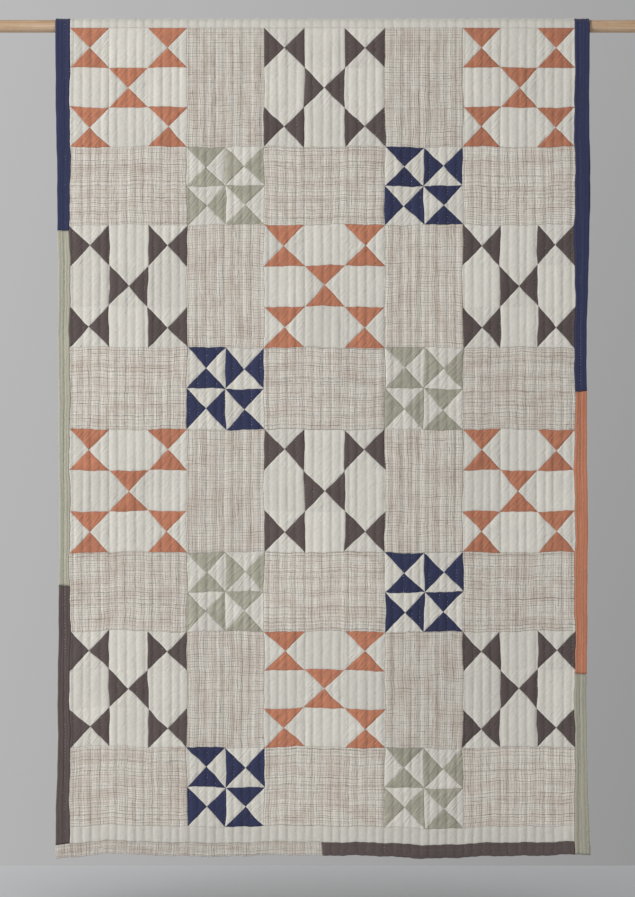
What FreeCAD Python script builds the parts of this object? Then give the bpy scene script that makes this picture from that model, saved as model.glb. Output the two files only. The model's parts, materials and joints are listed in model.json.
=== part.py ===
"""Patchwork quilt hung over a round wooden pole.

The pole lies along X with its axis through the origin, the face of the quilt
looks along -Y and +Z is up. All sizes are in millimetres. The top edge of the
quilt is turned over the pole, passes behind and under it and is tacked to the
back of the hanging length, which makes a rod pocket. The hanging length is
divided across its width into panels that fold on one another.
"""

import math
import os

import FreeCAD
import Part

# Pole: a straight dowel with a scored line inboard of each end, which marks
# the stretch that sits in a wall bracket.
POLE_RADIUS = 15.875
POLE_LENGTH = 1829.0
POLE_CHAMFER = 1.5
SEAT_LENGTH = 60.0
SCORE_WIDTH = 1.0
SCORE_DEPTH = 0.3

# Cloth layers, counted outward from the pole.
POLE_CLEARANCE = 0.3
BACKING_THICKNESS = 0.6
BATTING_THICKNESS = 2.4
FACE_THICKNESS = 0.6

# Patchwork. Rows run from the top down, columns from left to right.
COLUMN_WIDTHS = (297.0, 196.0, 307.0, 198.0, 284.0)
ROW_HEIGHTS = (302.0, 198.0, 312.0, 208.0, 312.0, 201.0, 295.0, 201.0)
FIRST_ROW_DROP = 7.5
BOTTOM_BORDER = 41.0

# Binding round the edge: width seen on the face and width turned to the back.
SIDE_BINDING = 38.0
END_BINDING = 34.0
BINDING_TURN = 12.0
BINDING_THICKNESS = 0.6

# Joins between binding colours: a row, counted from nought, and the drop of
# the join below the top of that row.
LEFT_JOINS = ((2, 13.5), (5, 82.5))
RIGHT_JOINS = ((3, 110.5), (6, 107.5))
BOTTOM_JOIN_X = 0.0

# Rod pocket: how far round the pole the cloth hugs it past the back, the
# radius where it turns down again, the drop of its free edge, and how many
# lengths the batting is laid in round the pole.
WRAP_ANGLE = math.radians(60.0)
TURN_RADIUS = 14.0
POCKET_DROP = 103.0
WRAP_SECTORS = 4

# Folding lines: gap of the batting and of the thin layers to the line.
LAYER_GAP = 1.6

# Derived sizes.
R_BACKING = POLE_RADIUS + POLE_CLEARANCE
R_BATTING = R_BACKING + BACKING_THICKNESS
R_FACE = R_BATTING + BATTING_THICKNESS
R_OUTER = R_FACE + FACE_THICKNESS
NOSE_RADIUS = BATTING_THICKNESS / 2.0
R_MIDDLE = R_BATTING + NOSE_RADIUS
PATCHWORK_WIDTH = sum(COLUMN_WIDTHS)
HALF_PATCHWORK = PATCHWORK_WIDTH / 2.0
HALF_WIDTH = HALF_PATCHWORK + SIDE_BINDING
ROW_TOPS = [-FIRST_ROW_DROP - sum(ROW_HEIGHTS[:i]) for i in range(len(ROW_HEIGHTS) + 1)]
COLUMN_LEFTS = [-HALF_PATCHWORK + sum(COLUMN_WIDTHS[:i]) for i in range(len(COLUMN_WIDTHS) + 1)]
BORDER_BOTTOM = ROW_TOPS[-1] - BOTTOM_BORDER
HEM = BORDER_BOTTOM - END_BINDING
FOLD_TOP = ROW_TOPS[0] - ROW_HEIGHTS[0] / 3.0
FOLD_UPPER = ROW_TOPS[3]
FOLD_LOWER = ROW_TOPS[6]
POCKET_EDGE = -POCKET_DROP
BINDING_TOP_START = POCKET_EDGE + END_BINDING

# Which cloth stands where: wide columns of tall rows hold nine-patch blocks of
# hourglass units, narrow columns of short rows hold four-patch ones.
TALL_ROW_BLOCKS = {
    0: ("coral", "charcoal", "coral"),
    2: ("charcoal", "coral", "charcoal"),
    4: ("coral", "charcoal", "coral"),
    6: ("charcoal", "coral", "charcoal"),
}
SHORT_ROW_BLOCKS = {
    1: ("sage", "navy"),
    3: ("navy", "sage"),
    5: ("sage", "navy"),
    7: ("navy", "sage"),
}
WIDE_COLUMNS = (0, 2, 4)
NARROW_COLUMNS = (1, 3)
FOLDS = (FOLD_TOP, FOLD_UPPER, FOLD_LOWER)


def save(name, shape):
    """Write one piece of the quilt as a STEP file."""
    shape.exportStep(os.path.join("parts", name + ".step"))


def box(x0, x1, y0, y1, z0, z1):
    """Return a box between two corners."""
    corner = FreeCAD.Vector(x0, y0, z0)
    return Part.makeBox(x1 - x0, y1 - y0, z1 - z0, corner)


def fuse(shapes):
    """Return one solid made of touching shapes."""
    joined = shapes[0].fuse(shapes[1:])
    return joined.removeSplitter()


def point(y, z):
    """Return a point of a cross-section in the YZ plane."""
    return FreeCAD.Vector(0.0, y, z)


def line(start, end):
    """Return a straight edge."""
    return Part.makeLine(start, end)


def arc(start, middle, end):
    """Return an arc through three points."""
    return Part.Arc(start, middle, end).toShape()


def wrap_path(radius, front_z, pocket_z):
    """Return the edges of one surface of the cloth round the pole, front to pocket edge."""
    normal = point(math.cos(WRAP_ANGLE), -math.sin(WRAP_ANGLE))
    centre_y = -POLE_RADIUS + TURN_RADIUS
    reach = R_BACKING + TURN_RADIUS
    centre_z = (centre_y * normal.y - reach) / math.sin(WRAP_ANGLE)
    centre = point(centre_y, centre_z)
    turn = TURN_RADIUS - (radius - R_BACKING)
    half = (math.pi - WRAP_ANGLE) / 2.0
    middle_angle = math.pi - WRAP_ANGLE / 2.0
    front_bottom = point(-radius, front_z)
    front_top = point(-radius, 0.0)
    over = point(radius * math.cos(half), radius * math.sin(half))
    under = normal * radius
    turn_start = centre - normal * turn
    turn_middle = centre + point(math.cos(middle_angle), math.sin(middle_angle)) * turn
    turn_end = centre - point(turn, 0.0)
    pocket_end = point(turn_end.y, pocket_z)
    return [
        line(front_bottom, front_top),
        arc(front_top, over, under),
        line(under, turn_start),
        arc(turn_start, turn_middle, turn_end),
        line(turn_end, pocket_end),
    ]


def between(inner, outer, x0, x1):
    """Return the solid between two chains of edges, from one X to another."""
    front = line(outer[0].Vertexes[0].Point, inner[0].Vertexes[0].Point)
    end = line(inner[-1].Vertexes[-1].Point, outer[-1].Vertexes[-1].Point)
    wire = Part.Wire(Part.__sortEdges__(inner + outer + [front, end]))
    solid = Part.Face(wire).extrude(FreeCAD.Vector(x1 - x0, 0.0, 0.0))
    solid.translate(FreeCAD.Vector(x0, 0.0, 0.0))
    return solid


def wrap_layer(r_in, r_out, front_z, pocket_z, x0, x1):
    """Return a layer of cloth that follows the wrap between two radii."""
    inner = wrap_path(r_in, front_z, pocket_z)
    outer = wrap_path(r_out, front_z, pocket_z)
    return between(inner, outer, x0, x1)


def sector_arc(radius, start, end):
    """Return an arc about the pole's axis between two angles above the +Y side."""
    angles = (start, (start + end) / 2.0, end)
    return arc(*[point(radius * math.cos(a), radius * math.sin(a)) for a in angles])


def wrapped_batting(x0, x1):
    """Return the batting round the pole as touching lengths, none of them hollow."""
    front_z = FOLD_TOP + LAYER_GAP
    pocket_z = POCKET_EDGE + BINDING_THICKNESS
    inner = wrap_path(R_BATTING, front_z, pocket_z)
    outer = wrap_path(R_FACE, front_z, pocket_z)
    base = FreeCAD.Vector(x0, -R_MIDDLE, front_z)
    nose = Part.makeCylinder(NOSE_RADIUS, x1 - x0, base, FreeCAD.Vector(1, 0, 0))
    lengths = [fuse([box(x0, x1, -R_FACE, -R_BATTING, front_z, 0.0), nose])]
    step = (math.pi + WRAP_ANGLE) / WRAP_SECTORS
    for i in range(WRAP_SECTORS):
        start = math.pi - i * step
        inner_arc = sector_arc(R_BATTING, start, start - step)
        outer_arc = sector_arc(R_FACE, start, start - step)
        lengths.append(between([inner_arc], [outer_arc], x0, x1))
    for edge in (2, 3, 4):
        lengths.append(between([inner[edge]], [outer[edge]], x0, x1))
    return Part.makeCompound(lengths)


def inset(z, inward):
    """Return a height moved inward where it lies on a folding line."""
    if any(abs(z - fold) < 1e-6 for fold in FOLDS):
        return z + inward * LAYER_GAP
    return z


def face_box(x0, x1, z_top, z_bottom):
    """Return a rectangular patch of the quilt's face."""
    return box(x0, x1, -R_OUTER, -R_FACE, inset(z_bottom, 1.0), inset(z_top, -1.0))


def face_triangle(corners):
    """Return a three-cornered patch of the quilt's face from X, Z corners."""
    points = [FreeCAD.Vector(x, -R_OUTER, z) for x, z in corners]
    outline = Part.makePolygon(points + points[:1])
    return Part.Face(outline).extrude(FreeCAD.Vector(0.0, FACE_THICKNESS, 0.0))


def hourglass(x0, x1, z_top, z_bottom):
    """Return the four triangles of a unit cut on both diagonals."""
    top = inset(z_top, -1.0)
    bottom = inset(z_bottom, 1.0)
    middle = ((x0 + x1) / 2.0, (top + bottom) / 2.0)
    ring = [(x0, top), (x1, top), (x1, bottom), (x0, bottom)]
    return [face_triangle([ring[i], ring[(i + 1) % 4], middle]) for i in range(4)]


def nine_patch(x0, x1, z_top, z_bottom, rows):
    """Return the patches of the named unit rows of a three by three block."""
    width = (x1 - x0) / 3.0
    height = (z_top - z_bottom) / 3.0
    patches = []
    for row in rows:
        for column in range(3):
            left = x0 + column * width
            top = z_top - row * height
            if (row + column) % 2 == 0:
                patches += hourglass(left, left + width, top, top - height)
            else:
                patches.append(face_box(left, left + width, top, top - height))
    return patches


def four_patch(x0, x1, z_top, z_bottom):
    """Return the patches of a two by two block of hourglass units."""
    x_middle = (x0 + x1) / 2.0
    z_middle = (z_top + z_bottom) / 2.0
    patches = []
    for left, right in ((x0, x_middle), (x_middle, x1)):
        for top, bottom in ((z_top, z_middle), (z_middle, z_bottom)):
            patches += hourglass(left, right, top, bottom)
    return patches


def hanging_batting(z_top, z_bottom):
    """Return the batting of one hanging panel, round-nosed at its folding lines."""
    half = HALF_WIDTH - BINDING_THICKNESS
    top = inset(z_top, -1.0)
    low = inset(z_bottom, 1.0)
    if low == z_bottom:
        low = z_bottom + BINDING_THICKNESS
    shapes = [box(-half, half, -R_FACE, -R_BATTING, low, top)]
    for z, fold in ((top, z_top), (low, z_bottom)):
        if fold in FOLDS:
            base = FreeCAD.Vector(-half, -R_MIDDLE, z)
            shapes.append(Part.makeCylinder(NOSE_RADIUS, 2.0 * half, base, FreeCAD.Vector(1, 0, 0)))
    return fuse(shapes)


def hanging_backing(z_top, z_bottom):
    """Return the backing of one hanging panel, between the turned-in bindings."""
    half = HALF_WIDTH - BINDING_TURN
    low = inset(z_bottom, 1.0)
    if low == z_bottom:
        low = z_bottom + BINDING_TURN
    return box(-half, half, -R_BATTING, -R_BACKING, low, inset(z_top, -1.0))


def side_binding(side, z_top, z_bottom, closed=False):
    """Return a length of side binding folded round the quilt's edge."""
    top = inset(z_top, -1.0)
    bottom = inset(z_bottom, 1.0)
    outer = side * HALF_WIDTH

    def strip(width, y0, y1):
        """Return one strip measured inward from the edge."""
        x0, x1 = sorted((outer, outer - side * width))
        return box(x0, x1, y0, y1, bottom, top)

    shapes = [
        strip(SIDE_BINDING, -R_OUTER, -R_FACE),
        strip(BINDING_THICKNESS, -R_FACE, -R_BATTING),
        strip(BINDING_TURN, -R_BATTING, -R_BACKING),
    ]
    if closed:
        x0, x1 = sorted((outer, outer - side * SIDE_BINDING))
        shapes.append(box(x0, x1, -R_FACE, -R_BATTING, bottom, bottom + BINDING_THICKNESS))
        shapes.append(box(x0, x1, -R_BATTING, -R_BACKING, bottom, bottom + BINDING_TURN))
    return fuse(shapes)


def wrapped_side_binding(side):
    """Return the side binding that goes round the pole with the rod pocket."""
    outer = side * HALF_WIDTH
    front = FOLD_TOP + LAYER_GAP
    layers = (
        (R_FACE, R_OUTER, SIDE_BINDING, POCKET_EDGE),
        (R_BATTING, R_FACE, BINDING_THICKNESS, POCKET_EDGE),
        (R_BACKING, R_BATTING, BINDING_TURN, POCKET_EDGE),
    )
    shapes = []
    for r_in, r_out, width, pocket_z in layers:
        x0, x1 = sorted((outer, outer - side * width))
        shapes.append(wrap_layer(r_in, r_out, front, pocket_z, x0, x1))
    x0, x1 = sorted((outer, outer - side * SIDE_BINDING))
    y_in = -POLE_RADIUS
    y_mid = y_in + BACKING_THICKNESS
    y_out = y_mid + BATTING_THICKNESS
    shapes.append(box(x0, x1, y_mid, y_out, POCKET_EDGE, POCKET_EDGE + BINDING_THICKNESS))
    shapes.append(box(x0, x1, y_in, y_mid, POCKET_EDGE, POCKET_EDGE + BINDING_TURN))
    return fuse(shapes)


def pocket_edge_binding():
    """Return the binding along the free edge of the rod pocket."""
    y_in = -POLE_RADIUS
    y_mid = y_in + BACKING_THICKNESS
    y_out = y_mid + BATTING_THICKNESS
    half = HALF_PATCHWORK
    shapes = [
        box(-half, half, y_out, y_out + FACE_THICKNESS, POCKET_EDGE, BINDING_TOP_START),
        box(-half, half, y_mid, y_out, POCKET_EDGE, POCKET_EDGE + BINDING_THICKNESS),
        box(-half, half, y_in, y_mid, POCKET_EDGE, POCKET_EDGE + BINDING_TURN),
    ]
    return fuse(shapes)


def hem_binding(x0, x1, closed=False):
    """Return a length of binding along the hem, with its outer end closed if asked."""
    shapes = [
        box(x0, x1, -R_OUTER, -R_FACE, HEM, BORDER_BOTTOM),
        box(x0, x1, -R_FACE, -R_BATTING, HEM, HEM + BINDING_THICKNESS),
        box(x0, x1, -R_BATTING, -R_BACKING, HEM, HEM + BINDING_TURN),
    ]
    if closed:
        edge = x0 + BINDING_THICKNESS
        shapes.append(box(x0, edge, -R_FACE, -R_BATTING, HEM, BORDER_BOTTOM))
        shapes.append(box(x0, x0 + BINDING_TURN, -R_BATTING, -R_BACKING, HEM, BORDER_BOTTOM))
    return fuse(shapes)


def make_pole():
    """Return the dowel, turned from its outline."""
    half = POLE_LENGTH / 2.0
    score = half - SEAT_LENGTH
    low = POLE_RADIUS - SCORE_DEPTH
    right = [
        (score - SCORE_WIDTH, POLE_RADIUS),
        (score - SCORE_WIDTH, low),
        (score, low),
        (score, POLE_RADIUS),
        (half - POLE_CHAMFER, POLE_RADIUS),
        (half, POLE_RADIUS - POLE_CHAMFER),
        (half, 0.0),
    ]
    left = [(-x, radius) for x, radius in reversed(right)]
    points = [FreeCAD.Vector(x, 0.0, radius) for x, radius in left + right]
    outline = Part.makePolygon(points + points[:1])
    axis = FreeCAD.Vector(1.0, 0.0, 0.0)
    return Part.Face(outline).revolve(FreeCAD.Vector(0.0, 0.0, 0.0), axis, 360.0)


def make_layers():
    """Save the batting and the backing of the rod pocket and the hanging panels."""
    half = HALF_WIDTH - BINDING_THICKNESS
    save("batting_top", wrapped_batting(-half, half))
    front = FOLD_TOP + LAYER_GAP
    half = HALF_WIDTH - BINDING_TURN
    pocket_z = POCKET_EDGE + BINDING_TURN
    save("backing_top", wrap_layer(R_BACKING, R_BATTING, front, pocket_z, -half, half))
    panels = {
        "upper": (FOLD_TOP, FOLD_UPPER),
        "middle": (FOLD_UPPER, FOLD_LOWER),
        "lower": (FOLD_LOWER, HEM),
    }
    for panel, (top, bottom) in panels.items():
        save("batting_" + panel, hanging_batting(top, bottom))
        save("backing_" + panel, hanging_backing(top, bottom))


def make_patchwork():
    """Save the pieced blocks, the plain plaid panels and the white borders."""
    for row, cloths in TALL_ROW_BLOCKS.items():
        top, bottom = ROW_TOPS[row], ROW_TOPS[row + 1]
        for column, cloth in zip(WIDE_COLUMNS, cloths):
            x0, x1 = COLUMN_LEFTS[column], COLUMN_LEFTS[column + 1]
            name = "block_r%d_c%d_%s" % (row + 1, column + 1, cloth)
            if row == 0:
                head = nine_patch(x0, x1, top, bottom, (0,))
                save(name + "_head", Part.makeCompound(head))
                save(name, Part.makeCompound(nine_patch(x0, x1, top, bottom, (1, 2))))
            else:
                save(name, Part.makeCompound(nine_patch(x0, x1, top, bottom, (0, 1, 2))))
    for row, cloths in SHORT_ROW_BLOCKS.items():
        top, bottom = ROW_TOPS[row], ROW_TOPS[row + 1]
        for column, cloth in zip(NARROW_COLUMNS, cloths):
            x0, x1 = COLUMN_LEFTS[column], COLUMN_LEFTS[column + 1]
            name = "block_r%d_c%d_%s" % (row + 1, column + 1, cloth)
            save(name, Part.makeCompound(four_patch(x0, x1, top, bottom)))
    for row in range(len(ROW_HEIGHTS)):
        top, bottom = ROW_TOPS[row], ROW_TOPS[row + 1]
        columns = NARROW_COLUMNS if row in TALL_ROW_BLOCKS else WIDE_COLUMNS
        spans = [(COLUMN_LEFTS[i], COLUMN_LEFTS[i + 1]) for i in columns]
        name = "plaid_row_%d" % (row + 1)
        if row == 0:
            head = [face_box(x0, x1, top, FOLD_TOP) for x0, x1 in spans]
            save(name + "_head", Part.makeCompound(head))
            top = FOLD_TOP
        save(name, Part.makeCompound([face_box(x0, x1, top, bottom) for x0, x1 in spans]))
    half = HALF_PATCHWORK
    border = wrap_layer(R_FACE, R_OUTER, ROW_TOPS[0], BINDING_TOP_START, -half, half)
    save("border_top", border)
    save("border_bottom", face_box(-half, half, ROW_TOPS[-1], BORDER_BOTTOM))


def make_bindings():
    """Save the lengths of binding round the edge of the quilt."""
    save("binding_left_navy_top", wrapped_side_binding(-1.0))
    save("binding_right_navy_top", wrapped_side_binding(1.0))
    save("binding_pocket_edge", pocket_edge_binding())
    left_1, left_2 = (ROW_TOPS[row] - drop for row, drop in LEFT_JOINS)
    right_1, right_2 = (ROW_TOPS[row] - drop for row, drop in RIGHT_JOINS)
    lengths = {
        "left_navy_upper": (-1.0, FOLD_TOP, left_1),
        "left_sage_upper": (-1.0, left_1, FOLD_UPPER),
        "left_sage_middle": (-1.0, FOLD_UPPER, left_2),
        "left_charcoal_middle": (-1.0, left_2, FOLD_LOWER),
        "left_charcoal_lower": (-1.0, FOLD_LOWER, BORDER_BOTTOM),
        "right_navy_upper": (1.0, FOLD_TOP, FOLD_UPPER),
        "right_navy_middle": (1.0, FOLD_UPPER, right_1),
        "right_coral_middle": (1.0, right_1, FOLD_LOWER),
        "right_coral_lower": (1.0, FOLD_LOWER, right_2),
    }
    for name, (side, top, bottom) in lengths.items():
        save("binding_" + name, side_binding(side, top, bottom))
    save("binding_right_sage_lower", side_binding(1.0, right_2, HEM, closed=True))
    save("binding_hem_plaid", hem_binding(-HALF_WIDTH, BOTTOM_JOIN_X, closed=True))
    save("binding_hem_charcoal", hem_binding(BOTTOM_JOIN_X, HALF_PATCHWORK))


def main():
    """Build and save every piece."""
    os.makedirs("parts", exist_ok=True)
    save("pole", make_pole())
    make_layers()
    make_patchwork()
    make_bindings()


main()
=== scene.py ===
"""A patchwork quilt folded over a wooden pole: its cloth, binding, thread, pole and studio.

Flat cloth is worked in millimetres: x across, q down the face from the level of
the pole's axis, and lift out of the cloth. Above the axis q runs on below zero,
over the pole and down the pocket at the back. Finished pieces are in metres.
"""

from __future__ import annotations

import json
import logging
import math
from dataclasses import dataclass, field
from enum import Enum
from typing import Any, Sequence

import bmesh
import bpy
import numpy as np
from mathutils import Matrix, Vector

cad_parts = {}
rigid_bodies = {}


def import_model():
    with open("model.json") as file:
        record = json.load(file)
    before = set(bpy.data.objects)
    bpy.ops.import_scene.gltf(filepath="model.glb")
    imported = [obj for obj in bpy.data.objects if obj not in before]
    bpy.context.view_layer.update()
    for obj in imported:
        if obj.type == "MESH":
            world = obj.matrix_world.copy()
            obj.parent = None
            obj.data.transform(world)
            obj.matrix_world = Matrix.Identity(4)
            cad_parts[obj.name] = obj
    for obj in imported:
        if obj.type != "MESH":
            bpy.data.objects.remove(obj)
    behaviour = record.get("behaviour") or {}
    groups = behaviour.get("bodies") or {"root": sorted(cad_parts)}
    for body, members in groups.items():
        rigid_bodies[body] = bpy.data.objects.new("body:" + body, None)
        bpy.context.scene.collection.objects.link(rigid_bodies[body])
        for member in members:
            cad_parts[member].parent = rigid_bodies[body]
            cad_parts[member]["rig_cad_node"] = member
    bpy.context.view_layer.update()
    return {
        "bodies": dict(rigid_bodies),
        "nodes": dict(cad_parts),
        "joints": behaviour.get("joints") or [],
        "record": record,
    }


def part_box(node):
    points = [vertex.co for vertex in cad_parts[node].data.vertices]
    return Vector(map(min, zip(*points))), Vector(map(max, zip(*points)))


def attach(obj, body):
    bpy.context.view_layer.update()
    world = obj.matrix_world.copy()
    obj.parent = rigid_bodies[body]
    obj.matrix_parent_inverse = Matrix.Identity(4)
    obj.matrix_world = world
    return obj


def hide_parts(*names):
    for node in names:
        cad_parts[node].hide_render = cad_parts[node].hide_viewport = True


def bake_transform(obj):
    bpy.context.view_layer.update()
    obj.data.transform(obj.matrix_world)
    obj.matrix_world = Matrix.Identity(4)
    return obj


LOG = logging.getLogger("quilt")
MM = 0.001
Array = np.ndarray


class Cloth(Enum):
    """The cottons the quilt is pieced and bound from."""

    WHITE = "white_cotton"
    PLAID = "plaid_cotton"
    CORAL = "coral_cotton"
    CHARCOAL = "charcoal_cotton"
    SAGE = "sage_cotton"
    NAVY = "navy_cotton"
    BACKING = "backing_cotton"


class Edge(Enum):
    """The side of the quilt a length of binding closes."""

    LEFT = -1
    RIGHT = 1
    HEM = 0
    POCKET = 2


class UnitTurn(Enum):
    """Where the coloured pair of an hourglass unit points."""

    UPRIGHT = 0
    SIDEWAYS = 1


def linear(colour: str) -> tuple[float, float, float, float]:
    """Turn an sRGB hex colour into the linear colour a shader takes.

    Args:
        colour: Six hex digits, with or without the hash.

    Returns:
        Red, green, blue and full alpha.
    """
    digits = colour.lstrip("#")
    parts = [int(digits[i : i + 2], 16) / 255 for i in (0, 2, 4)]
    bent = [p / 12.92 if p <= 0.04045 else ((p + 0.055) / 1.055) ** 2.4 for p in parts]
    return (bent[0], bent[1], bent[2], 1.0)


def add_node(
    tree: bpy.types.NodeTree, kind: str, settings: dict[str, Any], links: dict[Any, Any]
) -> bpy.types.Node:
    """Add one node to a material or world.

    Args:
        tree: The node tree.
        kind: The node's type name.
        settings: Property names, or input names and numbers, with their values.
        links: Input names or numbers, with the output socket each one reads.

    Returns:
        The new node.
    """
    node = tree.nodes.new(kind)
    for key, value in settings.items():
        if isinstance(key, str) and hasattr(node, key):
            setattr(node, key, value)
        else:
            node.inputs[key].default_value = value
    for key, socket in links.items():
        tree.links.new(socket, node.inputs[key])
    return node


def bare_material(name: str) -> bpy.types.Material:
    """Make a material that has no nodes yet.

    Args:
        name: The material's name.

    Returns:
        The material.
    """
    made = bpy.data.materials.new(name)
    made.use_nodes = True
    made.node_tree.nodes.clear()
    return made


def product(tree: bpy.types.NodeTree, *factors: Any) -> Any:
    """Multiply several sockets together.

    Args:
        tree: The node tree.
        factors: The output sockets.

    Returns:
        The socket of the product.
    """
    total = factors[0]
    for factor in factors[1:]:
        total = add_node(tree, "ShaderNodeMath", {"operation": "MULTIPLY"}, {0: total, 1: factor}).outputs[0]
    return total


def tone_and_painted_shade(tree: bpy.types.NodeTree, seam_shade: float, crease_shade: float) -> Any:
    """Darken cloth's colour with painted shade where it is caught in a seam or a line of quilting, and tell
    patches apart by their tone.

    Args:
        tree: The node tree.
        seam_shade: Share of light lost in a seam.
        crease_shade: Share of light lost in a line of quilting.

    Returns:
        The socket of the shade, near 1.
    """
    seam = add_node(tree, "ShaderNodeAttribute", {"attribute_name": "seam"}, {})
    crease = add_node(tree, "ShaderNodeAttribute", {"attribute_name": "crease"}, {})
    tone = add_node(tree, "ShaderNodeAttribute", {"attribute_name": "tone"}, {})
    # Painted shade: the colour is darkened near seams and quilting lines, where the cloth sinks in.
    caught = add_node(
        tree,
        "ShaderNodeMath",
        {"operation": "MULTIPLY_ADD", 1: -seam_shade, 2: 1.0},
        {0: seam.outputs["Fac"]},
    )
    sewn = add_node(
        tree,
        "ShaderNodeMath",
        {"operation": "MULTIPLY_ADD", 1: -crease_shade, 2: 1.0},
        {0: crease.outputs["Fac"]},
    )
    return product(tree, tone.outputs["Fac"], caught.outputs[0], sewn.outputs[0])


def crinkle(tree: bpy.types.NodeTree, place: Any) -> Any:
    """Crinkle cloth as washing does: small cross folds between the quilting lines, 7 to 20 mm long.

    Args:
        tree: The node tree.
        place: Socket of the flat place in metres.

    Returns:
        The socket of the height in mm.
    """
    cross = add_node(
        tree, "ShaderNodeMapping", {"Scale": (1 / (17 * MM), 1 / (7 * MM), 1.0)}, {"Vector": place}
    )
    folds = add_node(
        tree,
        "ShaderNodeTexNoise",
        {"Scale": 1.0, "Detail": 2.0, "Distortion": 0.6},
        {"Vector": cross.outputs[0]},
    )
    return add_node(
        tree, "ShaderNodeMath", {"operation": "MULTIPLY", 1: 1.3}, {0: folds.outputs["Fac"]}
    ).outputs[0]


def smooth(value: Array, low: float, high: float) -> Array:
    """Ease from 0 at low to 1 at high."""
    t = np.clip((value - low) / (high - low), 0.0, 1.0)
    return t * t * (3.0 - 2.0 * t)


@dataclass
class QuiltedSwatch:
    """A swatch of cloth sewn down along upright lines and blown up by its batting.

    The swatch is simulated once, and the heights between its lines of stitches
    are read for every channel of the quilt.
    """

    channels: int = 6
    cells: int = 10
    rows: int = 96
    channel_mm: float = 22.6
    frames: int = 26
    fullness: float = 0.035
    heights: Array = field(default_factory=lambda: np.zeros((2, 2)))

    @property
    def cell_mm(self) -> float:
        """Size of one cell of the swatch."""
        return self.channel_mm / self.cells

    def sew(self) -> None:
        """Simulate the swatch and keep its heights, from 0 on the stitches to about 1."""
        across = self.channels * self.cells
        rng = np.random.default_rng(11)
        shape = (self.rows + 1, across + 1)
        bm = bmesh.new()
        bmesh.ops.create_grid(bm, x_segments=across, y_segments=self.rows, size=0.5)
        cell = self.cell_mm / 10.0
        bmesh.ops.scale(bm, vec=(across * cell, self.rows * cell, 1.0), verts=bm.verts)
        for vert in bm.verts:
            vert.co.z = float(rng.uniform(0.0, 0.06))
        mesh = bpy.data.meshes.new("swatch")
        bm.to_mesh(mesh)
        bm.free()
        swatch = bpy.data.objects.new("swatch", mesh)
        bpy.context.scene.collection.objects.link(swatch)
        places = np.array([v.co for v in mesh.vertices])
        column = np.rint(places[:, 0] / cell + across / 2).astype(int)
        row = np.rint(places[:, 1] / cell + self.rows / 2).astype(int)
        sewn = swatch.vertex_groups.new(name="sewn")
        held = (column % self.cells == 0) & (row % 2 == 0)
        sewn.add([int(i) for i in np.flatnonzero(held)], 1.0, "REPLACE")
        cloth = swatch.modifiers.new("cloth", "CLOTH")
        settings = cloth.settings
        settings.quality = 6
        settings.mass = 0.2
        settings.air_damping = 4.0
        settings.tension_stiffness = 12.0
        settings.compression_stiffness = 12.0
        settings.shear_stiffness = 4.0
        settings.bending_stiffness = 0.12
        settings.vertex_group_mass = "sewn"
        settings.shrink_min = -self.fullness
        settings.use_pressure = True
        settings.uniform_pressure_force = 2.2
        settings.effector_weights.gravity = 0.0
        cloth.collision_settings.use_collision = False
        for frame in range(1, self.frames + 1):
            bpy.context.scene.frame_set(frame)
        graph = bpy.context.evaluated_depsgraph_get()
        settled = swatch.evaluated_get(graph).data
        lifted = np.array([v.co.z for v in settled.vertices])
        self.heights = np.zeros(shape)
        self.heights[row, column] = lifted
        self.heights -= self.heights[::2, :: self.cells].mean()
        self.heights = np.clip(self.heights / np.percentile(self.heights, 96), -0.15, 1.25)
        bpy.data.objects.remove(swatch)
        bpy.data.meshes.remove(mesh)
        bpy.context.scene.frame_set(1)
        LOG.info("swatch sewn, mean height %.2f", float(self.heights.mean()))

    def read(self, channel: Array, fraction: Array, q: Array) -> Array:
        """Read the swatch's height for points of the quilt.

        Args:
            channel: Whole number of each point's channel.
            fraction: Place across the channel, from 0 to 1.
            q: Place down the cloth in mm.

        Returns:
            Height from 0 to about 1.
        """
        column = ((channel * 5) % self.channels + np.clip(fraction, 0.0, 0.9999)) * self.cells
        along = (q + 61.0 * channel) / self.cell_mm
        span = self.rows - 1.0
        row = span - np.abs(np.mod(along, 2.0 * span) - span)
        c0, r0 = column.astype(int), row.astype(int)
        fc, fr = column - c0, row - r0
        table = self.heights
        top = table[r0, c0] * (1 - fc) + table[r0, c0 + 1] * fc
        low = table[r0 + 1, c0] * (1 - fc) + table[r0 + 1, c0 + 1] * fc
        return top * (1 - fr) + low * fr


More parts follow.
